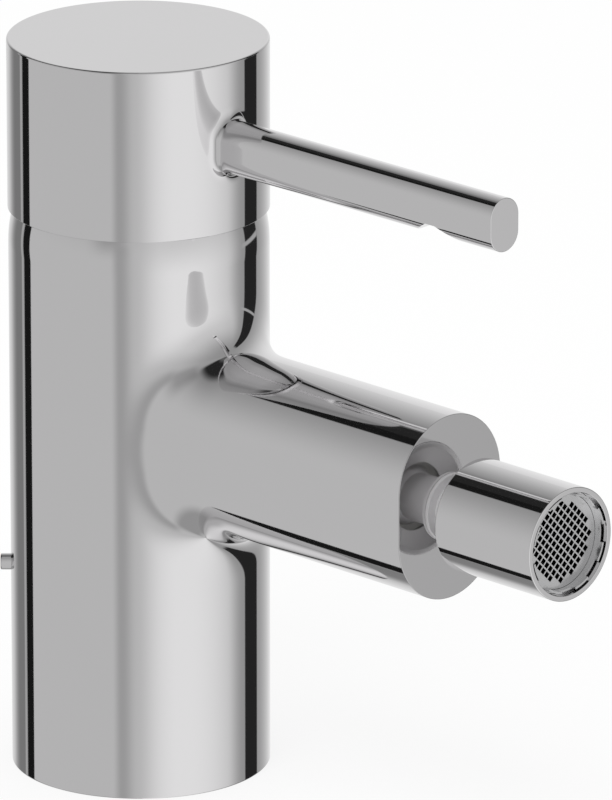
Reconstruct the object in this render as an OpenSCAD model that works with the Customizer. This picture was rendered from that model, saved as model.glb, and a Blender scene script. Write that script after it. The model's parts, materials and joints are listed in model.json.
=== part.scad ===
// Single-lever bidet mixer: a chrome column with a flat-sided spout, a tilting lever cap over a
// ceramic cartridge, a swivelling aerator on a ball joint and the lift pin of a pop-up waste.
// The origin is the centre of the base where it meets the deck. +Z is up and the spout points to -Y.

/* [Body] */
// Diameter of the column
body_d = 50; // [49:0.5:56]
// Height of the spout's axis above the deck
spout_z = 70.6; // [66:0.2:90]
// Metal between the spout's water way and the cartridge seat
seat_floor = 2.4; // [1.6:0.2:5]

/* [Spout] */
// Width of the spout's oval section
spout_w = 27; // [25:0.5:30]
// Height of the spout's oval section
spout_h = 36; // [33:0.5:40]
// Distance from the column's axis to the spout's end face
spout_reach = 83.5; // [74:0.5:110]
// Reach of the blend into the column at the spout's sides
blend_side = 30; // [18:0.5:34]
// Reach of the blend into the column over the spout
blend_top = 11.5; // [8:0.5:14]
// Reach of the blend into the column under the spout
blend_low = 12; // [8:0.5:16]
// Diameter of the water way in the spout
water_d = 18; // [14:0.5:19]
// Thickness of the spout's end wall, which holds the ball joint's thread
end_wall = 10; // [8:0.5:14]

/* [Base] */
// Distance of each inlet from the column's middle plane
inlet_x = 8; // [7.8:0.1:9]
// Distance of the inlets in front of the axis
inlet_front = 4.5; // [4:0.1:5.5]
// Core diameter of the M10x1 inlet threads
inlet_thread_d = 9; // [8.6:0.1:9.6]
// Depth of the inlet threads
inlet_thread_depth = 12; // [8:0.5:16]
// Diameter of the inlet passages
inlet_bore_d = 6; // [5:0.2:6.4]
// Distance of the fixing stud behind the axis
stud_back = 8.5; // [8:0.1:10]
// Core diameter of the M8 stud thread
stud_thread_d = 6.8; // [5.2:0.1:7.2]
// Depth of the stud thread
stud_depth = 16; // [10:0.5:24]
// Mean diameter of the base seal
base_seal_d = 43; // [41:0.5:44]
// Width of the base seal
base_seal_w = 2; // [1.5:0.1:2.6]
// Height of the base seal
base_seal_h = 1.6; // [1:0.1:2.5]

/* [Lever cap] */
// Height of the lever cap
cap_h = 33.4; // [32:0.2:40]
// How far the cap stands out past the column, on the radius
cap_step = 0.1; // [0.1:0.05:0.5]
// Thickness of the cap's top
cap_top = 4; // [3:0.2:6]
// Radius of the cap's top edge
cap_edge = 0.4; // [0.2:0.1:0.8]
// Inner diameter of the cap's hollow above the dome
cap_hollow_d = 39; // [36:0.5:41]
// Diameter of the boss that grips the stem
boss_d = 14.4; // [13.6:0.1:14.8]
// Height of the boss's foot above the tilt axis
boss_rise = 13.3; // [13:0.1:15]

/* [Lever] */
// Distance from the axis to the lever's end
lever_reach = 97.4; // [85:0.2:120]
// Width of the lever's oval section
lever_w = 7.4; // [6:0.2:9]
// Height of the lever's oval section
lever_h = 10.4; // [9.4:0.2:13]
// Height of the lever's axis above the cap's rim
lever_rise = 17; // [15:0.2:19]
// Reach of the blend where the lever meets the cap
lever_blend = 2.6; // [1:0.2:4]
// Distance from the lever's end back to the finger notch's far step
notch_back = 21.5; // [18:0.5:26]
// Length of the finger notch
notch_len = 13; // [10:0.5:16]
// Depth of the finger notch
notch_depth = 2.5; // [1.2:0.1:3]
// Length of the finger notch's step
notch_step = 4.3; // [2:0.1:5]
// Length of the finger notch's flat ceiling
notch_flat = 2.4; // [1:0.1:4]

/* [Handle screw] */
// Diameter of the set screw that clamps the handle on the stem
set_screw_d = 5; // [4:0.5:5.5]
// Length of the set screw
set_screw_len = 5; // [4:0.5:8]
// Height of the set screw above the tilt axis
set_screw_rise = 22; // [19:0.5:25]
// Length of the plug over the set screw
plug_len = 4; // [3:0.5:5]

/* [Cartridge] */
// Diameter of the cartridge
cart_d = 35; // [34:0.5:36]
// Wall of the cartridge housing
cart_wall = 1.5; // [1.2:0.1:1.8]
// Height of the tilt axis above the cartridge seat
pivot_rise = 22.7; // [22.4:0.1:25]
// Height of the cap's rim above the tilt axis
rim_rise = 7; // [6:0.1:7.4]
// Thickness of the cartridge's port plate
port_plate_t = 3; // [2.6:0.1:3.2]
// Thickness of each ceramic disc
disc_t = 3; // [2.6:0.1:3.2]
// Diameter of the moving disc
moving_disc_d = 24; // [23:0.2:24.4]
// Distance from the tilt axis down to the stem's ball end
stem_arm = 10.5; // [10:0.1:10.8]
// Diameter of the stem's ball end
stem_ball_d = 6; // [5:0.2:6.4]
// Width of the stem's square section
stem_w = 7; // [6:0.2:7.4]
// Height of the stem's top above the tilt axis
stem_rise = 29.3; // [26:0.1:31]
// Diameter of the stem's cross pin
pin_d = 3; // [2:0.1:3.4]
// Diameter of the turning stem carrier
carrier_d = 23.8; // [23.4:0.2:24.4]
// Largest lift of the lever in degrees
lift_max = 20; // [14:1:20]
// Largest turn of the lever to each side in degrees
turn_max = 45; // [30:1:50]

/* [Nut and cover] */
// Depth of the nut's thread in the column
nut_depth = 8.5; // [7:0.1:9]
// Height of the nut's collar above the column's top
nut_collar = 4; // [3:0.1:4.6]
// Distance from the column's surface in to the nut's collar
cover_wall = 8; // [7.4:0.1:9]
// Diameter of the opening in the cover ring
cover_open_d = 28.4; // [28:0.2:30]
// Thickness of the cover ring's lid
cover_t = 3; // [2:0.1:3.4]

/* [Ball joint] */
// Gap between the spout's end face and the aerator barrel
barrel_gap = 6.7; // [6.4:0.1:10]
// Diameter of the ball
ball_d = 13.2; // [12.6:0.1:13.4]
// Distance from the barrel's back to the ball's centre
ball_set = 6.8; // [6.5:0.1:7.2]
// Diameter of the neck behind the ball
neck_d = 9.2; // [8:0.1:9.3]
// Core diameter of the ball joint's thread in the spout
joint_thread_d = 9; // [8:0.1:10]
// Diameter of the ball joint's collar
collar_d = 13.2; // [12.8:0.1:16]
// Thickness of the ball joint's collar
collar_t = 0.75; // [0.6:0.05:1.5]
// Bore through the ball joint
joint_bore_d = 5; // [4:0.1:5.2]
// Thickness of the seat ring round the ball
ball_seat_t = 1.3; // [1:0.05:1.4]
// Thickness of the ball seal's round section
ball_seal_w = 1.8; // [1.4:0.1:2]

/* [Aerator] */
// Diameter of the aerator barrel
barrel_d = 21.9; // [21.7:0.1:24]
// Length of the aerator barrel
barrel_len = 24.6; // [24:0.1:30]
// Radius of the barrel's back edge
barrel_back_edge = 0.4; // [0.3:0.1:1.5]
// Width of the flat rim round the barrel's dished back
barrel_back_rim = 0.6; // [0.3:0.1:1]
// Length of the lip round the opening in the barrel's dished back
barrel_lip = 0.3; // [0.2:0.05:0.5]
// Radius of the barrel's front edge
barrel_front_edge = 0.2; // [0.1:0.05:0.5]
// Diameter of the opening in the barrel's back
barrel_open_d = 13.2; // [13.1:0.05:13.5]
// Diameter of the aerator's place in the barrel's front
aerator_bore_d = 19.8; // [19.4:0.1:19.9]
// Share of the space in front of the ball seal that the seal retainer takes
retainer_share = 0.29; // [0.27:0.01:0.34]
// Depth of the outlet grille behind the barrel's front
grille_recess = 2.4; // [1.6:0.1:3]
// Diameter of the outlet grille
grille_d = 18.2; // [17.6:0.1:18.4]
// Thickness of the outlet grille
grille_t = 0.8; // [0.6:0.1:1.2]
// Pitch of the holes in the grille
grille_pitch = 1.32; // [1.28:0.02:1.6]
// Width of each square hole in the grille
grille_hole = 1.02; // [0.8:0.02:1.06]
// How far in from the grille's edge the centres of the outermost holes are
grille_rim = 1.5; // [1.2:0.1:2.2]
// Number of key notches round the insert's front edge
key_notches = 8; // [6:1:12]
// How far the key notches reach in from the insert's edge
key_notch_in = 0.85; // [0.8:0.05:1]
// Depth of the key notches
key_notch_depth = 0.9; // [0.5:0.1:1.2]

/* [Pop-up lift] */
// Direction of the lift pin round the column, counted from +X
lift_dir = 135; // [120:1:150]
// Height of the lift pin above the deck
lift_pin_z = 39.7; // [30:0.1:44]
// Diameter of the lift pin
lift_pin_d = 3.2; // [2.6:0.1:3.4]
// How far the lift pin stands out of the column
lift_pin_out = 2; // [1.6:0.1:12]
// Diameter of the lift rod
lift_rod_d = 5; // [4.4:0.1:5.4]
// Distance of the lift rod from the column's axis
lift_rod_off = 14; // [13.6:0.1:14.6]
// Travel of the lift rod
lift_travel = 22; // [14:0.5:22]
// Diameter of the lift rod's guide bush
bush_d = 8; // [7.4:0.1:8.4]
// Length of the guide bush
bush_len = 8; // [5:0.5:12]
// Core diameter of the M4 thread in the rod's foot
rod_thread_d = 3.3; // [2.4:0.1:3.5]
// Depth of the thread in the rod's foot
rod_thread_depth = 10; // [6:0.5:14]

/* [Clearances] */
// Radial gap between turning or sliding pieces
run_gap = 0.05; // [0.03:0.01:0.08]
// Gap between a piece and the place that it is fitted in
fit_gap = 0.05; // [0.02:0.01:0.1]
// Gap between the cap and the domed shoulder
dome_gap = 0.2; // [0.15:0.05:0.4]
// Difference in diameter between a pressed pin and its hole
press_gap = 0.02; // [0.01:0.01:0.04]
// Free space round loose moving pieces
free_gap = 0.3; // [0.2:0.05:0.5]

/* [Hidden] */
$fn = 96;
eps = 0.01;

chrome = [0.78, 0.79, 0.80];
brass = [0.80, 0.66, 0.36];
steel = [0.62, 0.63, 0.65];
rubber = [0.13, 0.13, 0.14];
plastic_white = [0.88, 0.88, 0.86];
plastic_grey = [0.60, 0.61, 0.62];
plastic_blue = [0.30, 0.42, 0.62];
plastic_black = [0.06, 0.06, 0.06];
ceramic = [0.93, 0.92, 0.89];

// Heights above the deck
body_r = body_d / 2;
water_r = water_d / 2;
seat_z = spout_z + water_r + seat_floor;
pivot_z = seat_z + pivot_rise;
rim_z = pivot_z + rim_rise;
top_z = rim_z + cap_h;
lever_z = rim_z + lever_rise;

// Column and dome
dome_r = body_r;
column_overlap = 0.8;
column_top = rim_z + column_overlap;
cap_r = body_r + cap_step;

// Cartridge levels and radii
cart_r = cart_d / 2;
chamber_r = cart_r + fit_gap;
cart_in_r = cart_r - cart_wall;
plate_r = cart_in_r - fit_gap;
disc_z = seat_z + port_plate_t;
moving_z = disc_z + disc_t + run_gap;
slider_z = moving_z + disc_t;
ball_end_z = pivot_z - stem_arm;
slider_r = moving_disc_d / 2 - run_gap;
ceiling_gap = 0.8;
ceiling_z = ball_end_z + stem_ball_d / 2 + ceiling_gap;
slider_top = ceiling_z - free_gap;
shoulder_z = column_top - nut_depth;
carrier_r = carrier_d / 2;
housing_neck_wall = 1.8;
housing_neck_r = carrier_r + run_gap + housing_neck_wall;
housing_top = column_top;
carrier_drop = 0.5;
carrier_top = housing_top - carrier_drop;
slot_reach = stem_w / 2 / cos(lift_max) + free_gap;
slot_back = slot_reach + (carrier_top - pivot_z) * tan(lift_max);
slot_front = slot_reach + (pivot_z - ceiling_z) * tan(lift_max);
stem_foot_drop = 5;
stem_foot_z = pivot_z - stem_foot_drop;
stem_neck_r = stem_ball_d / 2 - 0.8;

// Ports of the cartridge, seen from above
inlet_port_r = 2.5;
outlet_back = stud_back - 0.5;
outlet_port_r = 3.2;
port_seal_r = 4.4;
port_seal_h = 1.2;
disc_seal_r = 4;
disc_seal_h = 0.9;
passage_w = 5.6;

// Nut and cover ring
nut_thread_wall = 2.4;
nut_r = chamber_r + nut_thread_wall;
nut_bore_r = housing_neck_r + fit_gap;
nut_collar_r = body_r - cover_wall;
nut_top = column_top + nut_collar;
cover_top = nut_top + cover_t;
limit_ring_h = 1.4;
limit_lug_w = 3;
limit_lug_in = 9;

// Handle
cap_dome_r = dome_r + dome_gap;
cap_hollow_r = cap_hollow_d / 2;
boss_z = pivot_z + boss_rise;
set_screw_z = pivot_z + set_screw_rise;
stem_top = pivot_z + stem_rise;
plug_r = set_screw_d / 2 + 0.1;

// Ball joint, counted along the spout from the column's axis
barrel_r = barrel_d / 2;
barrel_back = spout_reach + barrel_gap;
barrel_front = barrel_back + barrel_len;
ball_r = ball_d / 2;
ball_u = barrel_back + ball_set;
nipple_seal_t = 1;
nipple_seal_r = collar_d / 2 - 0.6;
ball_flat_share = 0.79;
ball_cut = ball_r * ball_flat_share;
seat_in_r = ball_r + run_gap;
seat_out_r = seat_in_r + ball_seat_t;
socket_r = seat_out_r + run_gap;
barrel_open_r = barrel_open_d / 2;
dish_r = barrel_r - barrel_back_edge - barrel_back_rim;
dish_depth = ball_set - sqrt(socket_r * socket_r - barrel_open_r * barrel_open_r) - barrel_lip;
ball_seal_r = ball_seal_w / 2;
seal_angle = 48;
seal_dist = ball_r + 2 * run_gap + ball_seal_r;
seal_ring_r = seal_dist * sin(seal_angle);
seal_u = ball_u + seal_dist * cos(seal_angle);

// Aerator, counted along the spout from the column's axis
aerator_bore_r = aerator_bore_d / 2;
insert_r = aerator_bore_r - fit_gap;
insert_set = 0.3;
insert_relief = 0.35;
insert_relief_len = 2;
insert_ledge = 0.8;
insert_front = barrel_front - insert_set;
washer_t = 1.3;
retainer_back = seal_u - ball_seal_r;
retainer_front = retainer_back + retainer_share * (insert_front - retainer_back);
retainer_bore_r = 4.2;
insert_back = retainer_front + washer_t;
insert_len = insert_front - insert_back;
grille_r = grille_d / 2;
grille_front = barrel_front - grille_recess;
grille_back = grille_front - grille_t;
diffuser_t = 1.4;
diffuser_ring_r = 4.4;
diffuser_hole_r = 0.6;
regulator_r = 5.6;
regulator_ring_r = 3.4;
regulator_hole_r = 0.9;

// Pop-up lift
lift_rod_r = lift_rod_d / 2;
lift_pin_r = lift_pin_d / 2;
lift_slot_w = lift_pin_d + 0.4;
pin_start = lift_rod_off - lift_rod_r + 0.5;
channel_r = lift_rod_r + 0.25;
rod_foot = 0.6;
rod_over_pin = 5;
rod_top = lift_pin_z + rod_over_pin;
rod_x = lift_rod_off * cos(lift_dir);
rod_y = lift_rod_off * sin(lift_dir);

// An upright oval with flat sides
module oval(w, h) {
    square([w, h - w], center = true);
    for (side = [-1, 1])
        translate([0, side * (h - w) / 2])
            circle(d = w);
}

// Puts a piece built along +Z on the spout's axis, u millimetres out from the column's axis
module on_spout(u) {
    translate([0, -u, spout_z])
        rotate([90, 0, 0])
            children();
}

// A ring of square section
module ring(r_out, r_in, h) {
    difference() {
        cylinder(r = r_out, h = h);
        translate([0, 0, -eps])
            cylinder(r = r_in, h = h + 2 * eps);
    }
}

// Places round an upright oval, each the angle of the outline's normal and the height of the centre
// that it is drawn from: an arc over the top, a flat, an arc under the bottom and the other flat
function oval_places(lift, arcs, flats) = concat(
    [for (i = [0:arcs]) [180 * i / arcs, lift]],
    [for (i = [1:flats - 1]) [180, lift * (1 - 2 * i / flats)]],
    [for (i = [0:arcs]) [180 + 180 * i / arcs, -lift]],
    [for (i = [1:flats - 1]) [360, lift * (2 * i / flats - 1)]]
);

// The point at a place of an oval's outline, grown by g
function oval_point(w, g, place) =
    [(w / 2 + g) * cos(place[0]), (w / 2 + g) * sin(place[0]) + place[1]];

// The reach of a blend at height z over the bar's axis: reach holds its side, top and low values
function reach_at(reach, h, z) =
    let (end = z >= 0 ? reach[1] : reach[2])
    end + (reach[0] - end) * (1 + cos(360 * z / h)) / 2;

// The point a share k of the way along the curve of six handles
function on_curve(handles, k) =
    let (
        share = [1, 5, 10, 10, 5, 1],
        terms = [for (i = [0:5]) share[i] * pow(k, i) * pow(1 - k, 5 - i) * handles[i]]
    )
    terms[0] + terms[1] + terms[2] + terms[3] + terms[4] + terms[5];

// One section of the blend between a column of radius r and an oval bar that leaves it along -Y.
// The curve leaves both surfaces at a distance f from the corner and with their own curvature.
// Its ends lie bite under them, and three points sunk deeper close the section.
function blend_section(r, w, f, steps, bite, sink, place) =
    let (
        fullness = 0.37,
        curve_lead = 1.25,
        off = f - bite,
        c = oval_point(w, off, place),
        centre = [c[0], -sqrt((r + off) * (r + off) - c[0] * c[0]), c[1]],
        to_column = -[centre[0], centre[1], 0] / (r + off),
        to_bar = -[cos(place[0]), 0, sin(place[0])],
        start = centre + f * to_column,
        end = centre + f * to_bar,
        middle = to_column + to_bar,
        corner = centre + f / cos(acos(to_column * to_bar) / 2) * middle / norm(middle),
        out = fullness * (corner - start),
        back = fullness * (corner - end),
        bend = (out[0] * out[0] + out[1] * out[1]) / r,
        handles = [start, start + out, start + 2 * out + curve_lead * bend * to_column,
            end + 2 * back, end + back, end],
        curve = [for (i = [0:steps]) on_curve(handles, i / steps)],
        b = oval_point(w, -sink, place),
        deep = [b[0], -sqrt(r * r - b[0] * b[0]) + sink, b[1]]
    )
    concat([centre + (f + sink) * to_column], curve, [centre + (f + sink) * to_bar, deep]);

// A blend all round the root of an oval bar
module root_blend(r, w, h, reach, arcs, steps) {
    bite = 0.04;
    sink = 0.6;
    flats = 4;
    sides = steps + 4;
    places = oval_places((h - w) / 2, arcs, flats);
    count = len(places);
    points = [
        for (place = places)
            let (f = reach_at(reach, h, w / 2 * sin(place[0]) + place[1]))
            each blend_section(r, w, f, steps, bite, sink, place)
    ];
    faces = [
        for (i = [0:count - 1], j = [0:sides - 1])
            let (
                a = i * sides + j,
                b = i * sides + (j + 1) % sides,
                c = ((i + 1) % count) * sides + (j + 1) % sides,
                d = ((i + 1) % count) * sides + j
            )
            each [[a, b, c], [a, c, d]]
    ];
    polyhedron(points, faces);
}

// The two inlets and the outlet, as places for a child piece
module at_inlets(z) {
    for (side = [-1, 1])
        translate([side * inlet_x, -inlet_front, z])
            children();
}

module at_outlet(z) {
    translate([0, outlet_back, z])
        children();
}

// The part of a dome about the tilt axis between two heights above that axis
module dome(r, low, high) {
    translate([0, 0, pivot_z])
        rotate_extrude()
            intersection() {
                circle(r = r);
                translate([0, low])
                    square([r, high - low]);
            }
}

module body() {
    color(chrome)
        difference() {
            union() {
                cylinder(r = body_r, h = pivot_z);
                dome(dome_r, 0, column_top - pivot_z);
                on_spout(0)
                    linear_extrude(spout_reach)
                        oval(spout_w, spout_h);
                translate([0, 0, spout_z])
                    root_blend(body_r, spout_w, spout_h, [blend_side, blend_top, blend_low], 30, 12);
            }
            cartridge_chamber();
            water_ways();
            base_holes();
            lift_channel();
        }
}

module cartridge_chamber() {
    translate([0, 0, seat_z])
        cylinder(r = chamber_r, h = column_top - seat_z + 1);
    translate([0, 0, shoulder_z - free_gap])
        cylinder(r = nut_r + fit_gap, h = nut_depth + 1);
}

module water_ways() {
    way_start = inlet_front + inlet_bore_d / 2 + 4.5;
    at_outlet(spout_z)
        cylinder(r = outlet_port_r, h = seat_z - spout_z + 1);
    on_spout(-outlet_back - passage_w / 2)
        linear_extrude(outlet_back + passage_w / 2 + way_start + eps)
            oval(passage_w, water_d);
    on_spout(way_start)
        cylinder(r = water_r, h = spout_reach - end_wall - way_start);
    on_spout(spout_reach - end_wall - 1)
        cylinder(d = joint_thread_d, h = end_wall + 2);
    on_spout(spout_reach - nipple_seal_t)
        cylinder(r = nipple_seal_r + fit_gap, h = nipple_seal_t + 1);
    at_inlets(-1)
        cylinder(d = inlet_bore_d, h = seat_z + 2);
}

module base_holes() {
    at_inlets(-1)
        cylinder(d = inlet_thread_d, h = inlet_thread_depth + 1);
    translate([0, stud_back, -1])
        cylinder(d = stud_thread_d, h = stud_depth + 1);
    translate([0, 0, -eps])
        ring(base_seal_d / 2 + base_seal_w / 2 + fit_gap, base_seal_d / 2 - base_seal_w / 2 - fit_gap,
            base_seal_h + eps);
}

// The rod's channel, the pocket of its bush and the slot that the pin rides in
module lift_channel() {
    channel_top = rod_top + lift_travel + 1;
    translate([rod_x, rod_y, -1]) {
        cylinder(r = channel_r, h = channel_top + 1);
        cylinder(r = bush_d / 2 + fit_gap, h = bush_len + 1 + fit_gap);
    }
    rotate([0, 0, lift_dir])
        translate([lift_rod_off, 0, 0]) {
            translate([0, -lift_slot_w / 2, lift_pin_z])
                cube([body_r, lift_slot_w, lift_travel]);
            for (z = [lift_pin_z, lift_pin_z + lift_travel])
                translate([0, 0, z])
                    rotate([0, 90, 0])
                        cylinder(d = lift_slot_w, h = body_r);
        }
}

module base_seal() {
    color(rubber)
        ring(base_seal_d / 2 + base_seal_w / 2, base_seal_d / 2 - base_seal_w / 2, base_seal_h - fit_gap);
}

module rod_guide_bush() {
    color(plastic_white)
        translate([rod_x, rod_y, rod_foot / 2])
            ring(bush_d / 2, lift_rod_r + run_gap, bush_len - rod_foot / 2);
}

module lift_rod() {
    color(steel)
        difference() {
            translate([rod_x, rod_y, rod_foot])
                cylinder(r = lift_rod_r, h = rod_top - rod_foot);
            translate([rod_x, rod_y, rod_foot - 1])
                cylinder(d = rod_thread_d, h = rod_thread_depth + 1);
            rotate([0, 0, lift_dir])
                translate([pin_start - fit_gap, 0, lift_pin_z])
                    rotate([0, 90, 0])
                        cylinder(r = lift_pin_r + fit_gap, h = lift_rod_d + 1);
        }
}

module lift_pin() {
    pin_edge = 0.3;
    pin_len = body_r + lift_pin_out - pin_start;
    color(chrome)
        rotate([0, 0, lift_dir])
            translate([pin_start, 0, lift_pin_z])
                rotate([0, 90, 0]) {
                    cylinder(r = lift_pin_r, h = pin_len - pin_edge);
                    translate([0, 0, pin_len - pin_edge])
                        cylinder(r1 = lift_pin_r, r2 = lift_pin_r - pin_edge, h = pin_edge);
                }
}

module cartridge_housing() {
    color(plastic_white)
        difference() {
            union() {
                translate([0, 0, seat_z])
                    cylinder(r = cart_r, h = shoulder_z - seat_z);
                translate([0, 0, shoulder_z])
                    cylinder(r = housing_neck_r, h = housing_top - shoulder_z);
            }
            translate([0, 0, seat_z - 1])
                cylinder(r = cart_in_r, h = ceiling_z - seat_z + 1);
            translate([0, 0, ceiling_z - 1])
                cylinder(r = carrier_r + run_gap, h = housing_top - ceiling_z + 2);
        }
}

module cartridge_port_plate() {
    color(plastic_grey)
        difference() {
            translate([0, 0, seat_z])
                cylinder(r = plate_r, h = port_plate_t);
            at_inlets(seat_z - 1)
                cylinder(r = inlet_port_r, h = port_plate_t + 2);
            at_outlet(seat_z - 1)
                cylinder(r = outlet_port_r, h = port_plate_t + 2);
            at_inlets(seat_z - 1)
                cylinder(r = port_seal_r + fit_gap, h = port_seal_h + 1);
            at_outlet(seat_z - 1)
                cylinder(r = port_seal_r + fit_gap, h = port_seal_h + 1);
            at_inlets(disc_z - disc_seal_h)
                cylinder(r = disc_seal_r + fit_gap, h = disc_seal_h + 1);
            at_outlet(disc_z - disc_seal_h)
                cylinder(r = disc_seal_r + fit_gap, h = disc_seal_h + 1);
        }
}

module port_seals() {
    color(rubber) {
        at_inlets(seat_z)
            ring(port_seal_r, inlet_port_r + 0.6, port_seal_h);
        at_outlet(seat_z)
            ring(port_seal_r, outlet_port_r, port_seal_h);
    }
}

module disc_seals() {
    color(rubber) {
        at_inlets(disc_z - disc_seal_h)
            ring(disc_seal_r, inlet_port_r + 0.3, disc_seal_h);
        at_outlet(disc_z - disc_seal_h)
            ring(disc_seal_r, outlet_port_r, disc_seal_h);
    }
}

module fixed_ceramic_disc() {
    color(ceramic)
        difference() {
            translate([0, 0, disc_z])
                cylinder(r = plate_r, h = disc_t);
            at_inlets(disc_z - 1)
                cylinder(r = inlet_port_r, h = disc_t + 2);
            at_outlet(disc_z - 1)
                cylinder(r = outlet_port_r, h = disc_t + 2);
        }
}

// The pocket under the moving disc joins the inlets to the outlet once the disc slides forward
module moving_ceramic_disc() {
    pocket_r = 6.2;
    pocket_back = 1.5;
    pocket_depth = 1.6;
    color(ceramic)
        difference() {
            translate([0, 0, moving_z])
                cylinder(d = moving_disc_d, h = disc_t);
            translate([0, pocket_back, moving_z - 1])
                cylinder(r = pocket_r, h = pocket_depth + 1);
            at_outlet(moving_z - 1)
                cylinder(r = outlet_port_r, h = pocket_depth + 1);
        }
}

module disc_slider() {
    socket_wall_z = ball_end_z + 1.3;
    socket_hole_r = stem_ball_d / 2 + 0.15;
    color(plastic_grey)
        difference() {
            translate([0, 0, slider_z])
                cylinder(r = slider_r, h = slider_top - slider_z);
            translate([0, 0, slider_z - 1])
                cylinder(r = socket_hole_r, h = slider_top - slider_z + 2);
            translate([-socket_hole_r, -2 * socket_hole_r, socket_wall_z])
                cube([2 * socket_hole_r, 4 * socket_hole_r, slider_top]);
        }
}

module stem_carrier() {
    color(plastic_blue)
        difference() {
            union() {
                translate([0, 0, ceiling_z])
                    cylinder(r = carrier_r, h = carrier_top - ceiling_z);
                translate([-limit_lug_w / 2, limit_lug_in, carrier_top - 1])
                    cube([limit_lug_w, carrier_r - limit_lug_in - 0.3, housing_top - carrier_top + limit_ring_h]);
            }
            translate([-stem_w / 2 - run_gap, -slot_front, ceiling_z - 1])
                cube([stem_w + 2 * run_gap, slot_front + slot_back, housing_top - ceiling_z + 2]);
            translate([-carrier_r - 1, 0, pivot_z])
                rotate([0, 90, 0])
                    cylinder(d = pin_d + press_gap, h = carrier_d + 2);
        }
}

module stem() {
    color(steel)
        difference() {
            union() {
                translate([0, 0, ball_end_z])
                    sphere(d = stem_ball_d);
                translate([0, 0, ball_end_z])
                    cylinder(r = stem_neck_r, h = stem_foot_z - ball_end_z + 1);
                translate([-stem_w / 2, -stem_w / 2, stem_foot_z])
                    cube([stem_w, stem_w, stem_top - stem_foot_z]);
            }
            translate([-stem_w, 0, pivot_z])
                rotate([0, 90, 0])
                    cylinder(r = pin_d / 2 + run_gap, h = 2 * stem_w);
        }
}

module stem_cross_pin() {
    color(steel)
        translate([-carrier_r + 0.2, 0, pivot_z])
            rotate([0, 90, 0])
                cylinder(d = pin_d, h = carrier_d - 0.4);
}

// The ring's window lets the stem carrier's lug swing to each side as far as the lever turns
module hot_limit_ring() {
    lug_angle = atan(limit_lug_w / 2 / limit_lug_in);
    window = turn_max + lug_angle + 2;
    far = 2 * carrier_d;
    color(plastic_grey)
        translate([0, 0, housing_top + fit_gap])
            linear_extrude(limit_ring_h)
                difference() {
                    circle(r = housing_neck_r);
                    circle(r = limit_lug_in - free_gap);
                    intersection() {
                        circle(r = carrier_r + free_gap);
                        polygon([
                            [0, 0], far * [sin(-window), cos(-window)], [0, 2 * far],
                            far * [sin(window), cos(window)]
                        ]);
                    }
                }
}

module cartridge_nut() {
    slot_w = 3;
    slot_depth = 1.6;
    color(brass)
        difference() {
            union() {
                translate([0, 0, shoulder_z])
                    cylinder(r = nut_r, h = nut_depth);
                translate([0, 0, column_top])
                    cylinder(r = nut_collar_r, h = nut_collar);
            }
            translate([0, 0, shoulder_z - 1])
                cylinder(r = nut_bore_r, h = nut_depth + nut_collar + 2);
            for (i = [0:5])
                rotate([0, 0, i * 60])
                    translate([nut_bore_r - 1, -slot_w / 2, nut_top - slot_depth])
                        cube([nut_r, slot_w, slot_depth + 1]);
        }
}

module cover_ring() {
    color(chrome)
        difference() {
            dome(dome_r - fit_gap, column_top + fit_gap - pivot_z, cover_top - pivot_z);
            translate([0, 0, column_top])
                cylinder(r = nut_collar_r + fit_gap, h = nut_collar + fit_gap);
            translate([0, 0, column_top])
                cylinder(d = cover_open_d, h = cover_top);
        }
}

// The hollow cap and the lever are one casting
module lever_handle() {
    color(chrome)
        difference() {
            union() {
                translate([0, 0, rim_z])
                    rotate_extrude() {
                        square([cap_r, cap_h - cap_edge]);
                        square([cap_r - cap_edge, cap_h]);
                        translate([cap_r - cap_edge, cap_h - cap_edge])
                            circle(r = cap_edge);
                    }
                translate([0, -cap_r / 2, lever_z])
                    rotate([90, 0, 0])
                        linear_extrude(lever_reach - cap_r / 2)
                            oval(lever_w, lever_h);
                translate([0, 0, lever_z])
                    root_blend(cap_r, lever_w, lever_h, [lever_blend, lever_blend, lever_blend], 22, 6);
            }
            cap_hollow();
            finger_notch();
            translate([0, 0, set_screw_z])
                rotate([-90, 0, 0])
                    cylinder(d = set_screw_d, h = cap_r);
            translate([0, cap_r - plug_len - 0.6, set_screw_z])
                rotate([-90, 0, 0])
                    cylinder(r = plug_r + fit_gap, h = cap_r);
        }
}

// The hollow follows the dome, so that the cap tilts round it, and leaves a boss with a square socket
module cap_hollow() {
    socket_half = stem_w / 2 + fit_gap;
    difference() {
        union() {
            dome(cap_dome_r, rim_rise - 1, cap_dome_r);
            translate([0, 0, pivot_z + boss_rise - 4])
                cylinder(r = cap_hollow_r, h = top_z - cap_top - boss_z + 4);
        }
        translate([0, 0, boss_z])
            cylinder(d = boss_d, h = cap_h);
    }
    translate([-socket_half, -socket_half, boss_z - 1])
        cube([2 * socket_half, 2 * socket_half, stem_top - boss_z + 1 + fit_gap]);
}

module finger_notch() {
    notch_u = lever_reach - notch_back;
    low = lever_z - lever_h / 2;
    rotate([90, 0, -90])
        linear_extrude(lever_w * 2, center = true)
            polygon([
                [notch_u, low - 1], [notch_u, low], [notch_u + notch_step, low + notch_depth],
                [notch_u + notch_step + notch_flat, low + notch_depth],
                [notch_u + notch_len, low], [notch_u + notch_len, low - 1]
            ]);
}

module handle_set_screw() {
    socket_d = 2.6;
    color(steel)
        translate([0, stem_w / 2 + fit_gap, set_screw_z])
            rotate([-90, 0, 0])
                difference() {
                    cylinder(r = set_screw_d / 2 - fit_gap, h = set_screw_len);
                    translate([0, 0, set_screw_len - 2])
                        cylinder(d = socket_d, h = 3, $fn = 6);
                }
}

module set_screw_plug() {
    color(plastic_grey)
        translate([0, cap_r - plug_len - 0.1, set_screw_z])
            rotate([-90, 0, 0])
                cylinder(r = plug_r, h = plug_len);
}

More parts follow.
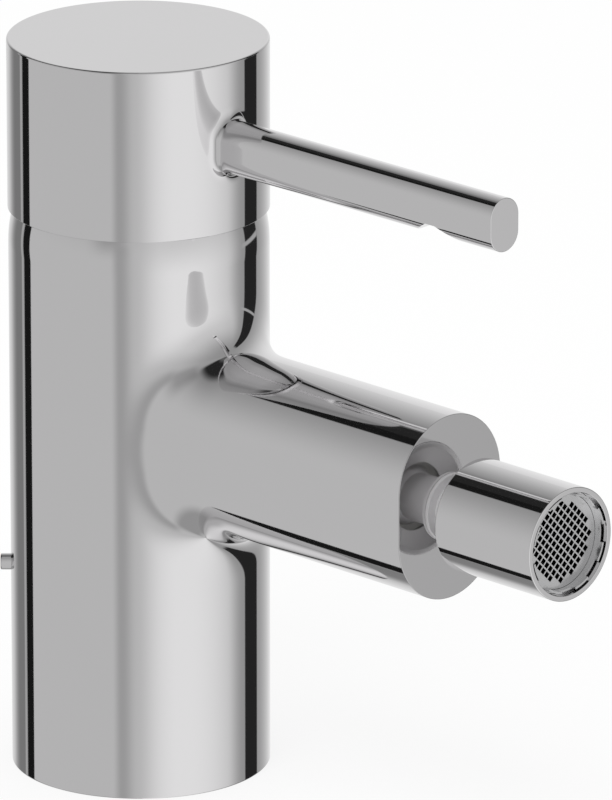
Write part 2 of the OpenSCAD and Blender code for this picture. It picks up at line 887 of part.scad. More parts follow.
module ball_joint_nipple() {
    shank_r = joint_thread_d / 2 - fit_gap;
    hex_depth = 3;
    color(chrome)
        difference() {
            union() {
                on_spout(spout_reach - end_wall + 1)
                    cylinder(r = shank_r, h = end_wall - 1 + collar_t);
                on_spout(spout_reach)
                    cylinder(d = collar_d, h = collar_t);
                on_spout(spout_reach)
                    cylinder(d = neck_d, h = barrel_gap + ball_set);
                on_spout(ball_u)
                    rotate_extrude()
                        intersection() {
                            circle(r = ball_r);
                            translate([0, -ball_r])
                                square([ball_r, ball_r + ball_cut]);
                        }
            }
            on_spout(spout_reach - end_wall)
                cylinder(d = joint_bore_d, h = end_wall + barrel_gap + barrel_len);
            on_spout(ball_u + ball_cut - hex_depth)
                cylinder(r = joint_bore_d / 2 + 0.6, h = hex_depth + 1, $fn = 6);
        }
}

module nipple_seal() {
    color(rubber)
        on_spout(spout_reach - nipple_seal_t)
            ring(nipple_seal_r, joint_thread_d / 2, nipple_seal_t);
}

// The seat ring floats between the ball and the barrel's round socket
module ball_seat_ring() {
    back_share = 0.48;
    back = ball_r * back_share;
    front = 0.6;
    color(plastic_white)
        on_spout(ball_u)
            rotate_extrude()
                intersection() {
                    difference() {
                        circle(r = seat_out_r);
                        circle(r = seat_in_r);
                    }
                    translate([0, -back])
                        square([seat_out_r, back + front]);
                }
}

module ball_seal() {
    color(rubber)
        on_spout(seal_u)
            rotate_extrude()
                translate([seal_ring_r, 0])
                    circle(r = ball_seal_r);
}

module seal_retainer() {
    color(plastic_grey)
        difference() {
            on_spout(retainer_back)
                cylinder(r = socket_r - fit_gap, h = retainer_front - retainer_back);
            on_spout(retainer_back - 1)
                cylinder(r = seal_ring_r + ball_seal_r + fit_gap, h = ball_seal_w + 1 + fit_gap);
            on_spout(retainer_back)
                cylinder(r = retainer_bore_r, h = retainer_front);
        }
}

module aerator_barrel() {
    color(chrome)
        on_spout(barrel_back)
            rotate_extrude()
                difference() {
                    barrel_outline();
                    square([barrel_open_r, barrel_len]);
                    polygon([[0, -1], [dish_r, -1], [dish_r, 0], [barrel_open_r, dish_depth], [0, dish_depth]]);
                    intersection() {
                        translate([0, ball_set])
                            circle(r = socket_r);
                        square([socket_r, barrel_len]);
                    }
                    translate([0, ball_set])
                        square([socket_r, barrel_len]);
                    translate([0, retainer_front - barrel_back])
                        square([aerator_bore_r, barrel_len]);
                }
}

// Half of the barrel's section, with its rounded edges
module barrel_outline() {
    back = barrel_back_edge;
    front = barrel_front_edge;
    translate([0, back])
        square([barrel_r, barrel_len - back - front]);
    square([barrel_r - back, barrel_len]);
    translate([0, barrel_len / 2])
        square([barrel_r - front, barrel_len / 2]);
    translate([barrel_r - back, back])
        circle(r = back);
    translate([barrel_r - front, barrel_len - front])
        circle(r = front);
}

module flow_regulator() {
    holes = 6;
    color(plastic_blue)
        difference() {
            on_spout(retainer_front)
                cylinder(r = regulator_r, h = washer_t);
            on_spout(retainer_front - 1)
                for (i = [0:holes - 1])
                    rotate([0, 0, i * 360 / holes])
                        translate([regulator_ring_r, 0, 0])
                            cylinder(r = regulator_hole_r, h = washer_t + 2);
        }
}

module aerator_washer() {
    color(rubber)
        on_spout(retainer_front)
            ring(aerator_bore_r - fit_gap, regulator_r + fit_gap, washer_t);
}

module aerator_diffuser() {
    holes = 12;
    color(plastic_black)
        difference() {
            on_spout(insert_back)
                cylinder(r = grille_r - fit_gap, h = diffuser_t);
            on_spout(insert_back - 1)
                for (i = [0:holes - 1])
                    rotate([0, 0, i * 360 / holes])
                        translate([diffuser_ring_r, 0, 0])
                            cylinder(r = diffuser_hole_r, h = diffuser_t + 2);
        }
}

// The insert carries the diffuser and the grille, and its front ring has notches for the key
module aerator_insert() {
    color(plastic_grey)
        difference() {
            union() {
                on_spout(insert_back)
                    cylinder(r = insert_r, h = insert_len - insert_relief_len);
                on_spout(insert_back)
                    cylinder(r = insert_r - insert_relief, h = insert_len);
            }
            on_spout(insert_back - 1)
                cylinder(r = grille_r - insert_ledge, h = insert_len + 2);
            on_spout(insert_back - 1)
                cylinder(r = grille_r, h = diffuser_t + 1);
            on_spout(grille_back)
                cylinder(r = grille_r, h = insert_len);
            on_spout(insert_front - key_notch_depth)
                for (i = [0:key_notches - 1])
                    rotate([0, 0, (i - 0.25) * 360 / key_notches])
                        rotate_extrude(angle = 180 / key_notches)
                            translate([insert_r - key_notch_in, 0])
                                square([key_notch_in + 1, key_notch_depth + 1]);
        }
}

module outlet_grille() {
    reach = floor(grille_r / grille_pitch) + 1;
    color(plastic_grey)
        on_spout(grille_back)
            linear_extrude(grille_t)
                difference() {
                    circle(r = grille_r - fit_gap);
                    rotate([0, 0, 45])
                        for (i = [-reach:reach], j = [-reach:reach])
                            if (norm([i, j]) * grille_pitch < grille_r - grille_rim)
                                translate([i, j] * grille_pitch)
                                    square(grille_hole, center = true);
                }
}

body();
base_seal();
rod_guide_bush();
lift_rod();
lift_pin();
cartridge_housing();
cartridge_port_plate();
port_seals();
disc_seals();
fixed_ceramic_disc();
moving_ceramic_disc();
disc_slider();
stem_carrier();
stem();
stem_cross_pin();
hot_limit_ring();
cartridge_nut();
cover_ring();
lever_handle();
handle_set_screw();
set_screw_plug();
ball_joint_nipple();
nipple_seal();
ball_seat_ring();
ball_seal();
seal_retainer();
aerator_barrel();
flow_regulator();
aerator_washer();
aerator_diffuser();
aerator_insert();
outlet_grille();
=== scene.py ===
"""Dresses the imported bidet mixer: its chrome skins, the finish of every piece and the studio round it."""

import json
import math

import bpy
import numpy as np
from bpy.props import FloatProperty, FloatVectorProperty, PointerProperty
from mathutils import Matrix, Vector
from mathutils.kdtree import KDTree


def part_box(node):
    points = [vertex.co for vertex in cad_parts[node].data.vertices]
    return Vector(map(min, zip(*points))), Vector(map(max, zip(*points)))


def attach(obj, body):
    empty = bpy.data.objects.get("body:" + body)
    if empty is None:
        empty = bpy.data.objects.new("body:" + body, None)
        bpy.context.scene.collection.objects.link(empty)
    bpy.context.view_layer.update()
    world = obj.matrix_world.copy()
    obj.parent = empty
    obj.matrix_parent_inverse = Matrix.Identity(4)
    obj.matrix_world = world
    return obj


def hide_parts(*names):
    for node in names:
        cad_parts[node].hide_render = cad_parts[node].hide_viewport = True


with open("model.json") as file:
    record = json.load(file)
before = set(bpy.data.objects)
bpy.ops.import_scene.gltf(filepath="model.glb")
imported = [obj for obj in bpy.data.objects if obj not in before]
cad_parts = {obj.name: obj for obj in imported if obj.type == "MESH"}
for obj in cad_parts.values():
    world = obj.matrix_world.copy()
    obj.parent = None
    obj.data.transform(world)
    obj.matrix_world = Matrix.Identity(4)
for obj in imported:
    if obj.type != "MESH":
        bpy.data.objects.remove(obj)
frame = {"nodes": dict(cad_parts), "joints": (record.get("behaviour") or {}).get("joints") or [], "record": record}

bl_info = {
    "name": "Bidet mixer",
    "version": (1, 0, 0),
    "blender": (4, 5, 0),
    "location": "View3D > Sidebar > Mixer",
    "description": "Builds the chrome skins, the finishes and the studio of a single-lever bidet mixer",
    "category": "Object",
}

MM = 0.001
# Points closer than this, in metres, are one point
WELD = 1e-6
JOINTS = {joint["name"]: joint for joint in frame["joints"]}
BOX = {name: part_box(name) for name in frame["nodes"]}
# Heights of the lever's tilt axis and of the spout's axis, and how far out the ball joint's centre is
PIVOT = JOINTS["lever_lift"]["pos_m"][2]
SPOUT_LEVEL = JOINTS["nozzle_pan"]["pos_m"][2]
BALL = -JOINTS["nozzle_pan"]["pos_m"][1]


def size(name, description, default, high=1.0):
    """A length that the sidebar shows."""
    return FloatProperty(name=name, description=description, default=default, min=0.0, max=high,
                         precision=5, subtype="DISTANCE", unit="LENGTH")


def share(name, description, default, high=1.0):
    """A plain number that the sidebar shows."""
    return FloatProperty(name=name, description=description, default=default, min=0.0, max=high,
                         precision=3)


def colour(name, description, default):
    """A colour that the sidebar shows."""
    return FloatVectorProperty(name=name, description=description, default=default, size=3,
                               min=0.0, max=1.0, subtype="COLOR")


class CastingSizes(bpy.types.PropertyGroup):
    """Sizes of the column and its spout."""
    radius: size("Column radius", "Radius of the column", BOX["body"][1].x)
    top: size("Column top", "Height of the column's top edge", BOX["body"][1].z)
    reach: size("Spout reach", "Distance from the axis to the end face", -BOX["body"][0].y)
    width: size("Spout width", "Width of the spout's oval", 27 * MM)
    height: size("Spout height", "Height of the spout's oval", 36 * MM)
    side: size("Side blend", "Reach of the blend into the column at the spout's sides", 30 * MM)
    over: size("Upper blend", "Reach of the blend into the column over the spout", 11.5 * MM)
    under: size("Lower blend", "Reach of the blend into the column under the spout", 12 * MM)
    end_edge: size("End edge", "Radius of the end face's edge", 0.12 * MM)
    foot_edge: size("Foot edge", "Radius of the column's foot", 0.3 * MM)
    nut_radius: size("Nut radius", "Radius of the nut's place", 20 * MM)
    nut_floor: size("Nut floor", "Height of the floor of the nut's place", 103.7 * MM)
    chamber: size("Chamber", "Radius of the cartridge's chamber", 17.55 * MM)
    seat: size("Seat", "Height of the chamber's floor", 82 * MM)
    joint_bore: size("Joint bore", "Radius of the ball joint's thread in the end face", 4.5 * MM)


class LeverSizes(bpy.types.PropertyGroup):
    """Sizes of the lever cap and its bar."""
    radius: size("Cap radius", "Radius of the cap", BOX["lever_handle"][1].x)
    rim: size("Rim height", "Height of the cap's rim", BOX["lever_handle"][0].z)
    top: size("Cap top", "Height of the cap's top", BOX["lever_handle"][1].z)
    level: size("Lever level", "Height of the bar's axis", BOX["lever_handle"][0].z + 17 * MM)
    reach: size("Lever reach", "Distance from the axis to the bar's end", -BOX["lever_handle"][0].y)
    width: size("Lever width", "Width of the bar's oval", 7.4 * MM)
    height: size("Lever height", "Height of the bar's oval", 10.4 * MM)
    blend: size("Root blend", "Reach of the blend at the bar's root", 2.6 * MM)
    top_edge: size("Top edge", "Radius of the cap's top edge", 0.4 * MM)
    rim_edge: size("Rim edge", "Radius of the cap's rim", 0.12 * MM)
    end_edge: size("End edge", "Radius of the bar's end", 0.15 * MM)
    dome_gap: size("Dome gap", "Gap between the cap's hollow and the shoulder", 0.2 * MM)
    hollow: size("Hollow", "Radius of the cap's hollow above the dome", 19.5 * MM)
    ceiling: size("Top thickness", "Thickness of the cap's top", 4 * MM)
    boss: size("Boss", "Radius of the boss that grips the stem", 7.2 * MM)
    boss_rise: size("Boss rise", "Height of the boss's foot above the tilt axis", 13.3 * MM)
    notch_back: size("Notch start", "Distance from the bar's end back to the notch's far step", 21.5 * MM)
    notch_length: size("Notch length", "Length of the finger notch", 13 * MM)
    notch_step: size("Notch step", "Length of the notch's step", 4.3 * MM)
    notch_flat: size("Notch flat", "Length of the notch's flat ceiling", 2.4 * MM)
    notch_depth: size("Notch depth", "Depth of the finger notch", 2.5 * MM)
    plug_gap: size("Plug gap", "Gap round the set screw's plug", 0.05 * MM)
    plug_cut: size("Plug cut", "Length of the plug bore's cutter, half of it in the cap", 9.4 * MM)


class NozzleSizes(bpy.types.PropertyGroup):
    """Sizes of the aerator barrel and the ball joint behind it."""
    back_edge: size("Back edge", "Radius of the barrel's back edge", 0.4 * MM)
    front_edge: size("Front edge", "Radius of the barrel's front edge", 0.2 * MM)
    back_rim: size("Back rim", "Width of the flat rim round the dished back", 0.6 * MM)
    dish: size("Dish depth", "Depth of the dished back", 1.979 * MM)
    lip: size("Lip", "Length of the lip round the opening", 0.3 * MM)
    opening: size("Opening", "Radius of the opening in the back", 6.6 * MM)
    socket: size("Socket", "Radius of the ball's socket", 8 * MM)
    mouth: size("Mouth", "Radius of the barrel's mouth", 9.9 * MM)
    mouth_edge: size("Mouth edge", "Radius of the mouth's edge", 0.1 * MM)
    ball: size("Ball", "Radius of the ball", 6.6 * MM)
    neck: size("Neck", "Radius of the neck behind the ball", 4.6 * MM)
    collar: size("Collar", "Radius of the ball joint's collar", 6.6 * MM)
    collar_depth: size("Collar thickness", "Thickness of the ball joint's collar", 0.75 * MM)
    shank: size("Shank", "Radius of the threaded shank", 4.45 * MM)
    bore: size("Bore", "Radius of the bore through the ball joint", 2.5 * MM)


class SmallSizes(bpy.types.PropertyGroup):
    """Sizes of the small chrome pieces."""
    pin_edge: size("Pin edge", "Radius of the lift pin's end", 0.3 * MM)
    plug_edge: size("Plug edge", "Radius of the plug's edge", 0.2 * MM)
    cover_gap: size("Cover gap", "How far the cover's dome stays inside the shoulder's", 0.05 * MM)
    cover_lid: size("Cover lid", "Thickness of the cover's top", 2.95 * MM)
    cover_inside: size("Cover inside", "Radius of the cover's hollow", 17.05 * MM)
    cover_opening: size("Cover opening", "Radius of the opening round the stem", 14.2 * MM)


class FinishColours(bpy.types.PropertyGroup):
    """Colours of the finishes."""
    chrome: colour("Chrome", "Polished chrome", (0.803, 0.796, 0.803))
    steel: colour("Steel", "Bright steel", (0.56, 0.57, 0.58))
    brass: colour("Brass", "Turned brass", (0.72, 0.54, 0.24))
    rubber: colour("Rubber", "Black rubber", (0.018, 0.018, 0.02))
    white: colour("White plastic", "White moulded plastic", (0.75, 0.75, 0.72))
    grey: colour("Grey plastic", "Grey moulded plastic", (0.33, 0.34, 0.35))
    satin: colour("Plated plastic", "Satin plated plastic of the aerator", (0.74, 0.74, 0.745))
    nickel: colour("Satin nickel", "Satin nickel of the ball joint", (0.80, 0.79, 0.80))
    black: colour("Black plastic", "Black moulded plastic", (0.006, 0.006, 0.006))
    blue: colour("Blue plastic", "Blue moulded plastic", (0.08, 0.16, 0.36))
    ceramic: colour("Ceramic", "Lapped ceramic", (0.84, 0.82, 0.77))


class StudioSettings(bpy.types.PropertyGroup):
    """The camera, the floor and the light."""
    lens: FloatProperty(name="Lens", description="Focal length of the camera in millimetres",
                        default=512.35, min=50.0, max=1000.0, unit="CAMERA")
    ambient: share("Ambient", "Strength of the even light on plain surfaces", 0.9, 4.0)
    floor_size: size("Floor size", "Width of the floor", 12.0, 50.0)
    floor_tone: share("Floor tone", "Share of the light that the floor returns", 0.95)
    floor_rough: share("Floor roughness", "Roughness of the floor", 0.9)
    floor_white: share("Floor white", "Share of the floor that is plain white to the camera", 0.8)
    lamp: FloatProperty(name="Lamp", description="Power of the soft lamp in watts", default=8.0, min=0.0,
                        max=100.0, subtype="POWER", unit="POWER")
    lamp_size: size("Lamp size", "Diameter of the soft lamp", 0.9, 5.0)


# Mesh tools
def only(obj):
    """Selects one object and makes it active."""
    bpy.ops.object.select_all(action="DESELECT")
    obj.select_set(True)
    bpy.context.view_layer.objects.active = obj


def place_grid(name, points):
    """A grid whose vertices are moved to the rows and columns of points, an array (rows, columns, 3)."""
    rows, columns = points.shape[:2]
    bpy.ops.mesh.primitive_grid_add(x_subdivisions=columns - 1, y_subdivisions=rows - 1, size=1)
    obj = bpy.context.object
    obj.name = obj.data.name = name
    obj.data.vertices.foreach_set("co", points.astype(np.float32).ravel())
    obj.data.update()
    return obj


def join(name, parts):
    """Joins the parts into one piece, welds their seams and turns the faces outwards."""
    only(parts[0])
    for part in parts[1:]:
        part.select_set(True)
    if len(parts) > 1:
        bpy.ops.object.join()
    obj = bpy.context.object
    obj.name = obj.data.name = name
    bpy.ops.object.mode_set(mode="EDIT")
    bpy.ops.mesh.select_all(action="SELECT")
    bpy.ops.mesh.remove_doubles(threshold=WELD)
    bpy.ops.mesh.dissolve_degenerate(threshold=WELD)
    bpy.ops.mesh.normals_make_consistent(inside=False)
    bpy.ops.mesh.select_mode(type="VERT")
    bpy.ops.mesh.select_all(action="DESELECT")
    bpy.ops.mesh.select_non_manifold()
    bpy.ops.object.mode_set(mode="OBJECT")
    loose = [v.co[:] for v in obj.data.vertices if v.select]
    if loose:
        raise RuntimeError(f"{name} isn't closed: {len(loose)} open vertices, such as {loose[:3]}")
    return obj


def cut(obj, *cutters):
    """Takes the cutters out of the piece."""
    for cutter in cutters:
        before = len(obj.data.polygons)
        modifier = obj.modifiers.new("cut", "BOOLEAN")
        modifier.object = cutter
        modifier.operation = "DIFFERENCE"
        modifier.solver = "EXACT"
        only(obj)
        bpy.context.view_layer.update()
        bpy.ops.object.modifier_apply(modifier=modifier.name)
        if len(obj.data.polygons) == before:
            raise RuntimeError(f"{cutter.name} took nothing out of {obj.name}")
        bpy.data.objects.remove(cutter)


def set_normals(obj, points, normals, limit=0.9, nearest=4):
    """Gives each corner the skin's own normal where its face lies in the skin, else the face's normal."""
    tree = KDTree(len(points))
    for i, point in enumerate(points):
        tree.insert(point, i)
    tree.balance()
    mesh = obj.data
    mesh.polygons.foreach_set("use_smooth", [True] * len(mesh.polygons))
    choices = []
    for vertex in mesh.vertices:
        near = [index for _, index, _ in tree.find_n(vertex.co, nearest)]
        away = ((points[near] - np.array(vertex.co)) ** 2).sum(1)
        choices.append([Vector(normals[i]) for i, d in zip(near, away) if d <= away[0] + WELD * WELD])
    custom = [None] * len(mesh.loops)
    for polygon in mesh.polygons:
        flat = polygon.normal.copy()
        for loop in polygon.loop_indices:
            own = max(choices[mesh.loops[loop].vertex_index], key=flat.dot)
            custom[loop] = own if own.dot(flat) > limit else flat
    mesh.normals_split_custom_set(custom)
    mesh.update()


def cylinder(name, radius, depth, centre, axis=(0, 0, 1), sides=64):
    """A plain cylinder along an axis, used as a cutter."""
    turn = Vector((0, 0, 1)).rotation_difference(Vector(axis)).to_euler()
    bpy.ops.mesh.primitive_cylinder_add(vertices=sides, radius=radius, depth=depth,
                                        location=centre, rotation=turn)
    obj = bpy.context.object
    obj.name = name
    bpy.ops.object.transform_apply(location=True, rotation=True, scale=True)
    return obj


def finish_piece(obj, body, node, slot, look=None):
    """Puts a finished piece on its body in place of the node that it shows."""
    dress(obj, look or SLOT_FINISH[slot])
    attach(obj, body)
    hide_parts(node)


# The skin of a column with an oval bar
def unit(v):
    """Vectors of length one."""
    return v / np.linalg.norm(v, axis=-1, keepdims=True)


class Root:
    """The skin where an oval bar leaves a column along -Y, with a blend that keeps both their curvatures.

    The samples run round the bar: over its top, down one flat side, under it and up the other side, and
    the last is the first again. Each has the angle of the outline's normal and the height of its arc's
    centre.
    """

    def __init__(self, radius, width, height, level, reach, blend, end_edge, low, high, steps=160,
                 side_share=0.1, blend_steps=24, bar_steps=12, spread_steps=44, fullness=0.37):
        self.radius, self.width, self.level = radius, width, level
        rise = (height - width) / 2
        flats = max(2, round(4 * rise * steps / (math.pi * width)))
        half = np.linspace(0, math.pi, steps + 1)
        up = np.linspace(-rise, rise, flats + 1)[1:]
        left, right = np.full(flats - 1, math.pi), np.full(flats, 2 * math.pi)
        self.angle = np.concatenate([half, left, half + math.pi, right])
        self.lift = np.concatenate([0 * half + rise, -up[:-1], 0 * half - rise, up])
        self.out = np.stack([np.cos(self.angle), 0 * self.angle, np.sin(self.angle)], 1)
        rows = self.end_rows(reach, end_edge)
        heights = width / 2 * np.sin(self.angle) + self.lift
        end = np.where(heights >= 0, blend[1], blend[2])
        fillet = end + (blend[0] - end) * (1 + np.cos(2 * math.pi * heights / height)) / 2
        centre = self.bar_point(fillet, 0)
        centre[:, 1] = -np.sqrt((radius + fillet) ** 2 - centre[:, 0] ** 2)
        to_column = -centre * [1, 1, 0] / (radius + fillet)[:, None]
        fillet = fillet[:, None]
        for k in np.linspace(0, 1, bar_steps + 1)[1:-1]:
            rows.append((self.bar_point(0, (reach - end_edge) * (1 - k) - centre[:, 1] * k), self.out))
        start, finish_at = centre + fillet * to_column, centre - fillet * self.out
        self.blend_from = len(rows)
        rows += self.blend_rows(centre, fillet, to_column, start, finish_at, blend_steps, fullness)
        self.blend_to = len(rows)
        self.meet_frame(steps, flats, side_share, rise, low, high)
        foot_turn = np.arctan2(start[:, 0], -start[:, 1])
        for k in np.linspace(0, 1, spread_steps + 1)[1:]:
            turn = foot_turn * (1 - k) + self.turn * k
            rows.append(self.on_column(turn, start[:, 2] * (1 - k) + self.foot * k))
        self.rows = rows

    def bar_point(self, grow, u):
        """The outline's points, grown outwards, at a distance u from the column's axis."""
        reach = self.width / 2 + grow
        return np.stack([reach * np.cos(self.angle), -u * np.ones_like(self.angle),
                         reach * np.sin(self.angle) + self.lift + self.level], 1)

    def end_rows(self, reach, edge, steps=4):
        """The rounded edge of the bar's end."""
        rows = []
        for a in np.linspace(0, math.pi / 2, steps + 1):
            normal = math.sin(a) * self.out + math.cos(a) * np.array([0, -1, 0])
            inset, back = edge * (math.sin(a) - 1), edge * (1 - math.cos(a))
            rows.append((self.bar_point(inset, reach - back), normal))
        return rows

    def blend_rows(self, centre, fillet, to_column, start, finish_at, steps, fullness):
        """Rows of the blend, from the bar to the column, on curves of six handles.

        Moving the third handle in by 5/4 of the column's bend gives the curve the column's curvature
        there. The last three handles are in line, because the bar is straight.
        """
        middle = to_column - self.out
        angle = np.arccos((to_column * -self.out).sum(1))
        corner = centre + fillet / np.cos(angle / 2)[:, None] * unit(middle)
        out, back = fullness * (corner - start), fullness * (corner - finish_at)
        bend = (out[:, 0] ** 2 + out[:, 1] ** 2) / self.radius
        handles = [start, start + out, start + 2 * out + 1.25 * bend[:, None] * to_column,
                   finish_at + 2 * back, finish_at + back, finish_at]
        rows = []
        for k in np.linspace(1, 0, steps + 1):
            weights = [math.comb(5, i) * k ** i * (1 - k) ** (5 - i) for i in range(6)]
            rows.append((sum(weight * handle for weight, handle in zip(weights, handles)), None))
        return rows

    def meet_frame(self, steps, flats, side_share, rise, low, high):
        """Where each sample meets the frame of the rolled-out column, whose sides are its seam at the back
        and whose lower and upper edges are at low and high."""
        a = np.linspace(0, 1, steps + 1)
        turn = np.clip((0.5 - a) / (0.5 - side_share), -1, 1) * math.pi
        climb = np.clip(np.minimum(a, 1 - a) / side_share, 0, 1)
        up = np.linspace(-rise, rise, flats + 1)[1:]
        upper = self.level + rise + climb * (high - self.level - rise)
        lower = self.level - rise - climb * (self.level - rise - low)
        seam = np.full(flats, math.pi)
        self.turn = np.concatenate([turn, -seam[:-1], -turn, seam])
        self.foot = np.concatenate([upper, self.level - up[:-1], lower, self.level + up])
        self.top_turn = turn[climb > 1 - 1e-9]
        self.low_turn = -self.top_turn

    def on_column(self, turn, z):
        """Points and normals of the column itself."""
        normal = np.stack([np.sin(turn), -np.cos(turn), 0 * turn], 1)
        point = self.radius * normal
        point[:, 2] = z
        return point, normal

    def grid(self):
        """All rows as an array of points and one of normals."""
        points = np.stack([row[0] for row in self.rows])
        normals = np.stack([np.zeros_like(row[0]) if row[1] is None else row[1] for row in self.rows])
        first, last = self.blend_from, self.blend_to
        part = points[first - 1:last + 1]
        part = np.concatenate([part[:, -2:-1], part, part[:, 1:2]], 1)
        along, across = part[2:] - part[:-2], np.gradient(part, axis=1)[1:-1]
        normals[first:last] = unit(np.cross(along, across))[:, 1:-1]
        normals[first] = self.out
        normals[last - 1] = unit(points[last - 1] * [1, 1, 0])
        return points, normals


def turned_rows(turn, outline):
    """Rows of a turned skin: outline holds (radius, height, normal outwards, normal upwards)."""
    points, normals = [], []
    around = np.stack([np.sin(turn), -np.cos(turn), 0 * turn], 1)
    for r, z, out, up in outline:
        points.append(r * around + [0, 0, z])
        normals.append(out * around + [0, 0, up])
    return np.stack(points), unit(np.stack(normals))


def arc(centre_r, centre_z, radius, start, end, steps, hollow=False):
    """Outline points on an arc, with angles in degrees counted from the outward direction upwards."""
    sign = -1 if hollow else 1
    rows = []
    for a in np.radians(np.linspace(start, end, steps + 1)):
        c, s = math.cos(a), math.sin(a)
        rows.append((centre_r + radius * c, centre_z + radius * s, sign * c, sign * s))
    return rows


def inward(rows):
    """The same outline with its normals the other way, for a hollow."""
    return [(r, z, -out, -up) for r, z, out, up in rows]


def corners(*points):
    """Outline points of a polygon with sharp corners: each corner has the normals of both its sides."""
    rows = []
    for (r0, z0), (r1, z1) in zip(points, points[1:]):
        length = math.hypot(r1 - r0, z1 - z0)
        out, up = (z1 - z0) / length, (r0 - r1) / length
        rows += [(r0, z0, out, up), (r1, z1, out, up)]
    return rows


def skin(name, grids):
    """Builds a piece from grids of points and normals."""
    obj = join(name, [place_grid(name, points) for points, _ in grids])
    points = np.concatenate([points.reshape(-1, 3) for points, _ in grids])
    normals = np.concatenate([normals.reshape(-1, 3) for _, normals in grids])
    return obj, points, normals


def end_spine(root):
    """Closes the bar's end face with rows that run in to the oval's spine."""
    outer = root.rows[0][0]
    inner = np.stack([0 * root.angle, outer[:, 1], root.lift + root.level], 1)
    points = np.stack([inner, outer])
    return points, np.zeros_like(points) + [0, -1, 0]


def end_with_bore(root, bore, depth):
    """Closes the bar's end face round a bore along the bar's axis."""
    outer = root.rows[0][0]
    angle = np.arctan2(outer[:, 2] - root.level, outer[:, 0])
    ring = np.stack([bore * np.cos(angle), outer[:, 1], root.level + bore * np.sin(angle)], 1)
    middle = np.array([0, outer[0, 1], root.level])
    deep = [0, depth, 0]
    grids = []
    for points, normal in (((ring, outer), [0, -1, 0]), ((ring + deep, ring), unit(middle - ring)),
                           ((middle + deep + 0 * ring, ring + deep), [0, -1, 0])):
        points = np.stack(points)
        grids.append((points, np.zeros_like(points) + normal))
    return grids


# Holes in the column's foot: place across and to the back, radius and depth in millimetres
HOLES = {
    "cold_inlet": (-8, -4.5, 4.5, 12),
    "hot_inlet": (8, -4.5, 4.5, 12),
    "stud_hole": (0, 8.5, 3.4, 16),
    "bush_hole": (-9.9, 9.9, 4.05, 8.05),
    "rod_channel": (-9.9, 9.9, 2.75, 67.7),
}
# Depth of the ball joint's thread in the end face, the slot's gap round the lift pin, the length of the
# slot's cutter and how far out the cutter's middle is, in millimetres
JOINT_DEPTH = 8
SLOT_GAP = 0.2
SLOT_CUT = 14
SLOT_MIDDLE = 21


def build_column(s):
    """The column and its spout."""
    root = Root(s.radius, s.width, s.height, SPOUT_LEVEL, s.reach, (s.side, s.over, s.under),
                s.end_edge, s.foot_edge, PIVOT)
    shoulder = math.degrees(math.asin((s.top - PIVOT) / s.radius))
    rim = math.sqrt(s.radius ** 2 - (s.top - PIVOT) ** 2)
    top = arc(0, PIVOT, s.radius, 0, shoulder, steps=8)
    top += corners((rim, s.top), (s.nut_radius, s.top), (s.nut_radius, s.nut_floor),
                   (s.chamber, s.nut_floor), (s.chamber, s.seat), (0, s.seat))
    foot = arc(s.radius - s.foot_edge, s.foot_edge, s.foot_edge, 0, -90, steps=4) + [(0, 0, 0, -1)]
    grids = [root.grid(), turned_rows(root.top_turn, top), turned_rows(root.low_turn, foot)]
    grids += end_with_bore(root, s.joint_bore, JOINT_DEPTH * MM)
    obj, points, normals = skin("column_skin", grids)
    holes = [cylinder(name, radius * MM, 2 * depth * MM, (x * MM, y * MM, 0))
             for name, (x, y, radius, depth) in HOLES.items()]
    cut(obj, pin_slot(), *holes)
    set_normals(obj, points, normals)
    return obj


def pin_slot():
    """The cutter of the slot that the lift pin rides in: a cylinder along the pin, drawn out upwards."""
    low, high = BOX["lift_pin"]
    middle = (low + high) / 2
    travel = JOINTS["lift_rod_slide"]["range_m"][1]
    outwards = Vector((middle.x, middle.y, 0)).normalized()
    obj = cylinder("pin_slot", (high.z - low.z) / 2 + SLOT_GAP * MM, SLOT_CUT * MM,
                   outwards * SLOT_MIDDLE * MM + Vector((0, 0, middle.z)), outwards, sides=48)
    for vertex in obj.data.vertices:
        if vertex.co.z > middle.z + WELD:
            vertex.co.z += travel
    obj.data.update()
    return obj


def build_lever(s):
    """The cap and its bar."""
    root = Root(s.radius, s.width, s.height, s.level, s.reach, (s.blend,) * 3, s.end_edge,
                s.rim + s.rim_edge, s.top - s.top_edge, steps=120, blend_steps=14, spread_steps=48)
    top = arc(s.radius - s.top_edge, s.top - s.top_edge, s.top_edge, 0, 90, steps=6) + [(0, s.top, 0, 1)]
    dome = BOX["body"][1].x + s.dome_gap
    start = math.degrees(math.asin((s.rim - PIVOT) / dome))
    end = math.degrees(math.acos(s.hollow / dome))
    ceiling, boss_foot = s.top - s.ceiling, PIVOT + s.boss_rise
    inner = arc(0, PIVOT, dome, start, end, steps=8, hollow=True)
    foot = arc(s.radius - s.rim_edge, s.rim + s.rim_edge, s.rim_edge, 0, -90, steps=3)
    foot += [(inner[0][0], s.rim, 0, -1)] + inner
    foot += inward(corners(inner[-1][:2], (s.hollow, ceiling), (s.boss, ceiling), (s.boss, boss_foot),
                           (0, boss_foot)))
    grids = [root.grid(), end_spine(root), turned_rows(root.top_turn, top),
             turned_rows(root.low_turn, foot)]
    obj, points, normals = skin("lever_skin", grids)
    low, high = BOX["set_screw_plug"]
    plug_bore = cylinder("plug_bore", (high.z - low.z) / 2 + s.plug_gap, s.plug_cut,
                         (0, s.radius, (high.z + low.z) / 2), (0, 1, 0))
    cut(obj, finger_notch(s), plug_bore)
    set_normals(obj, points, normals)
    return obj


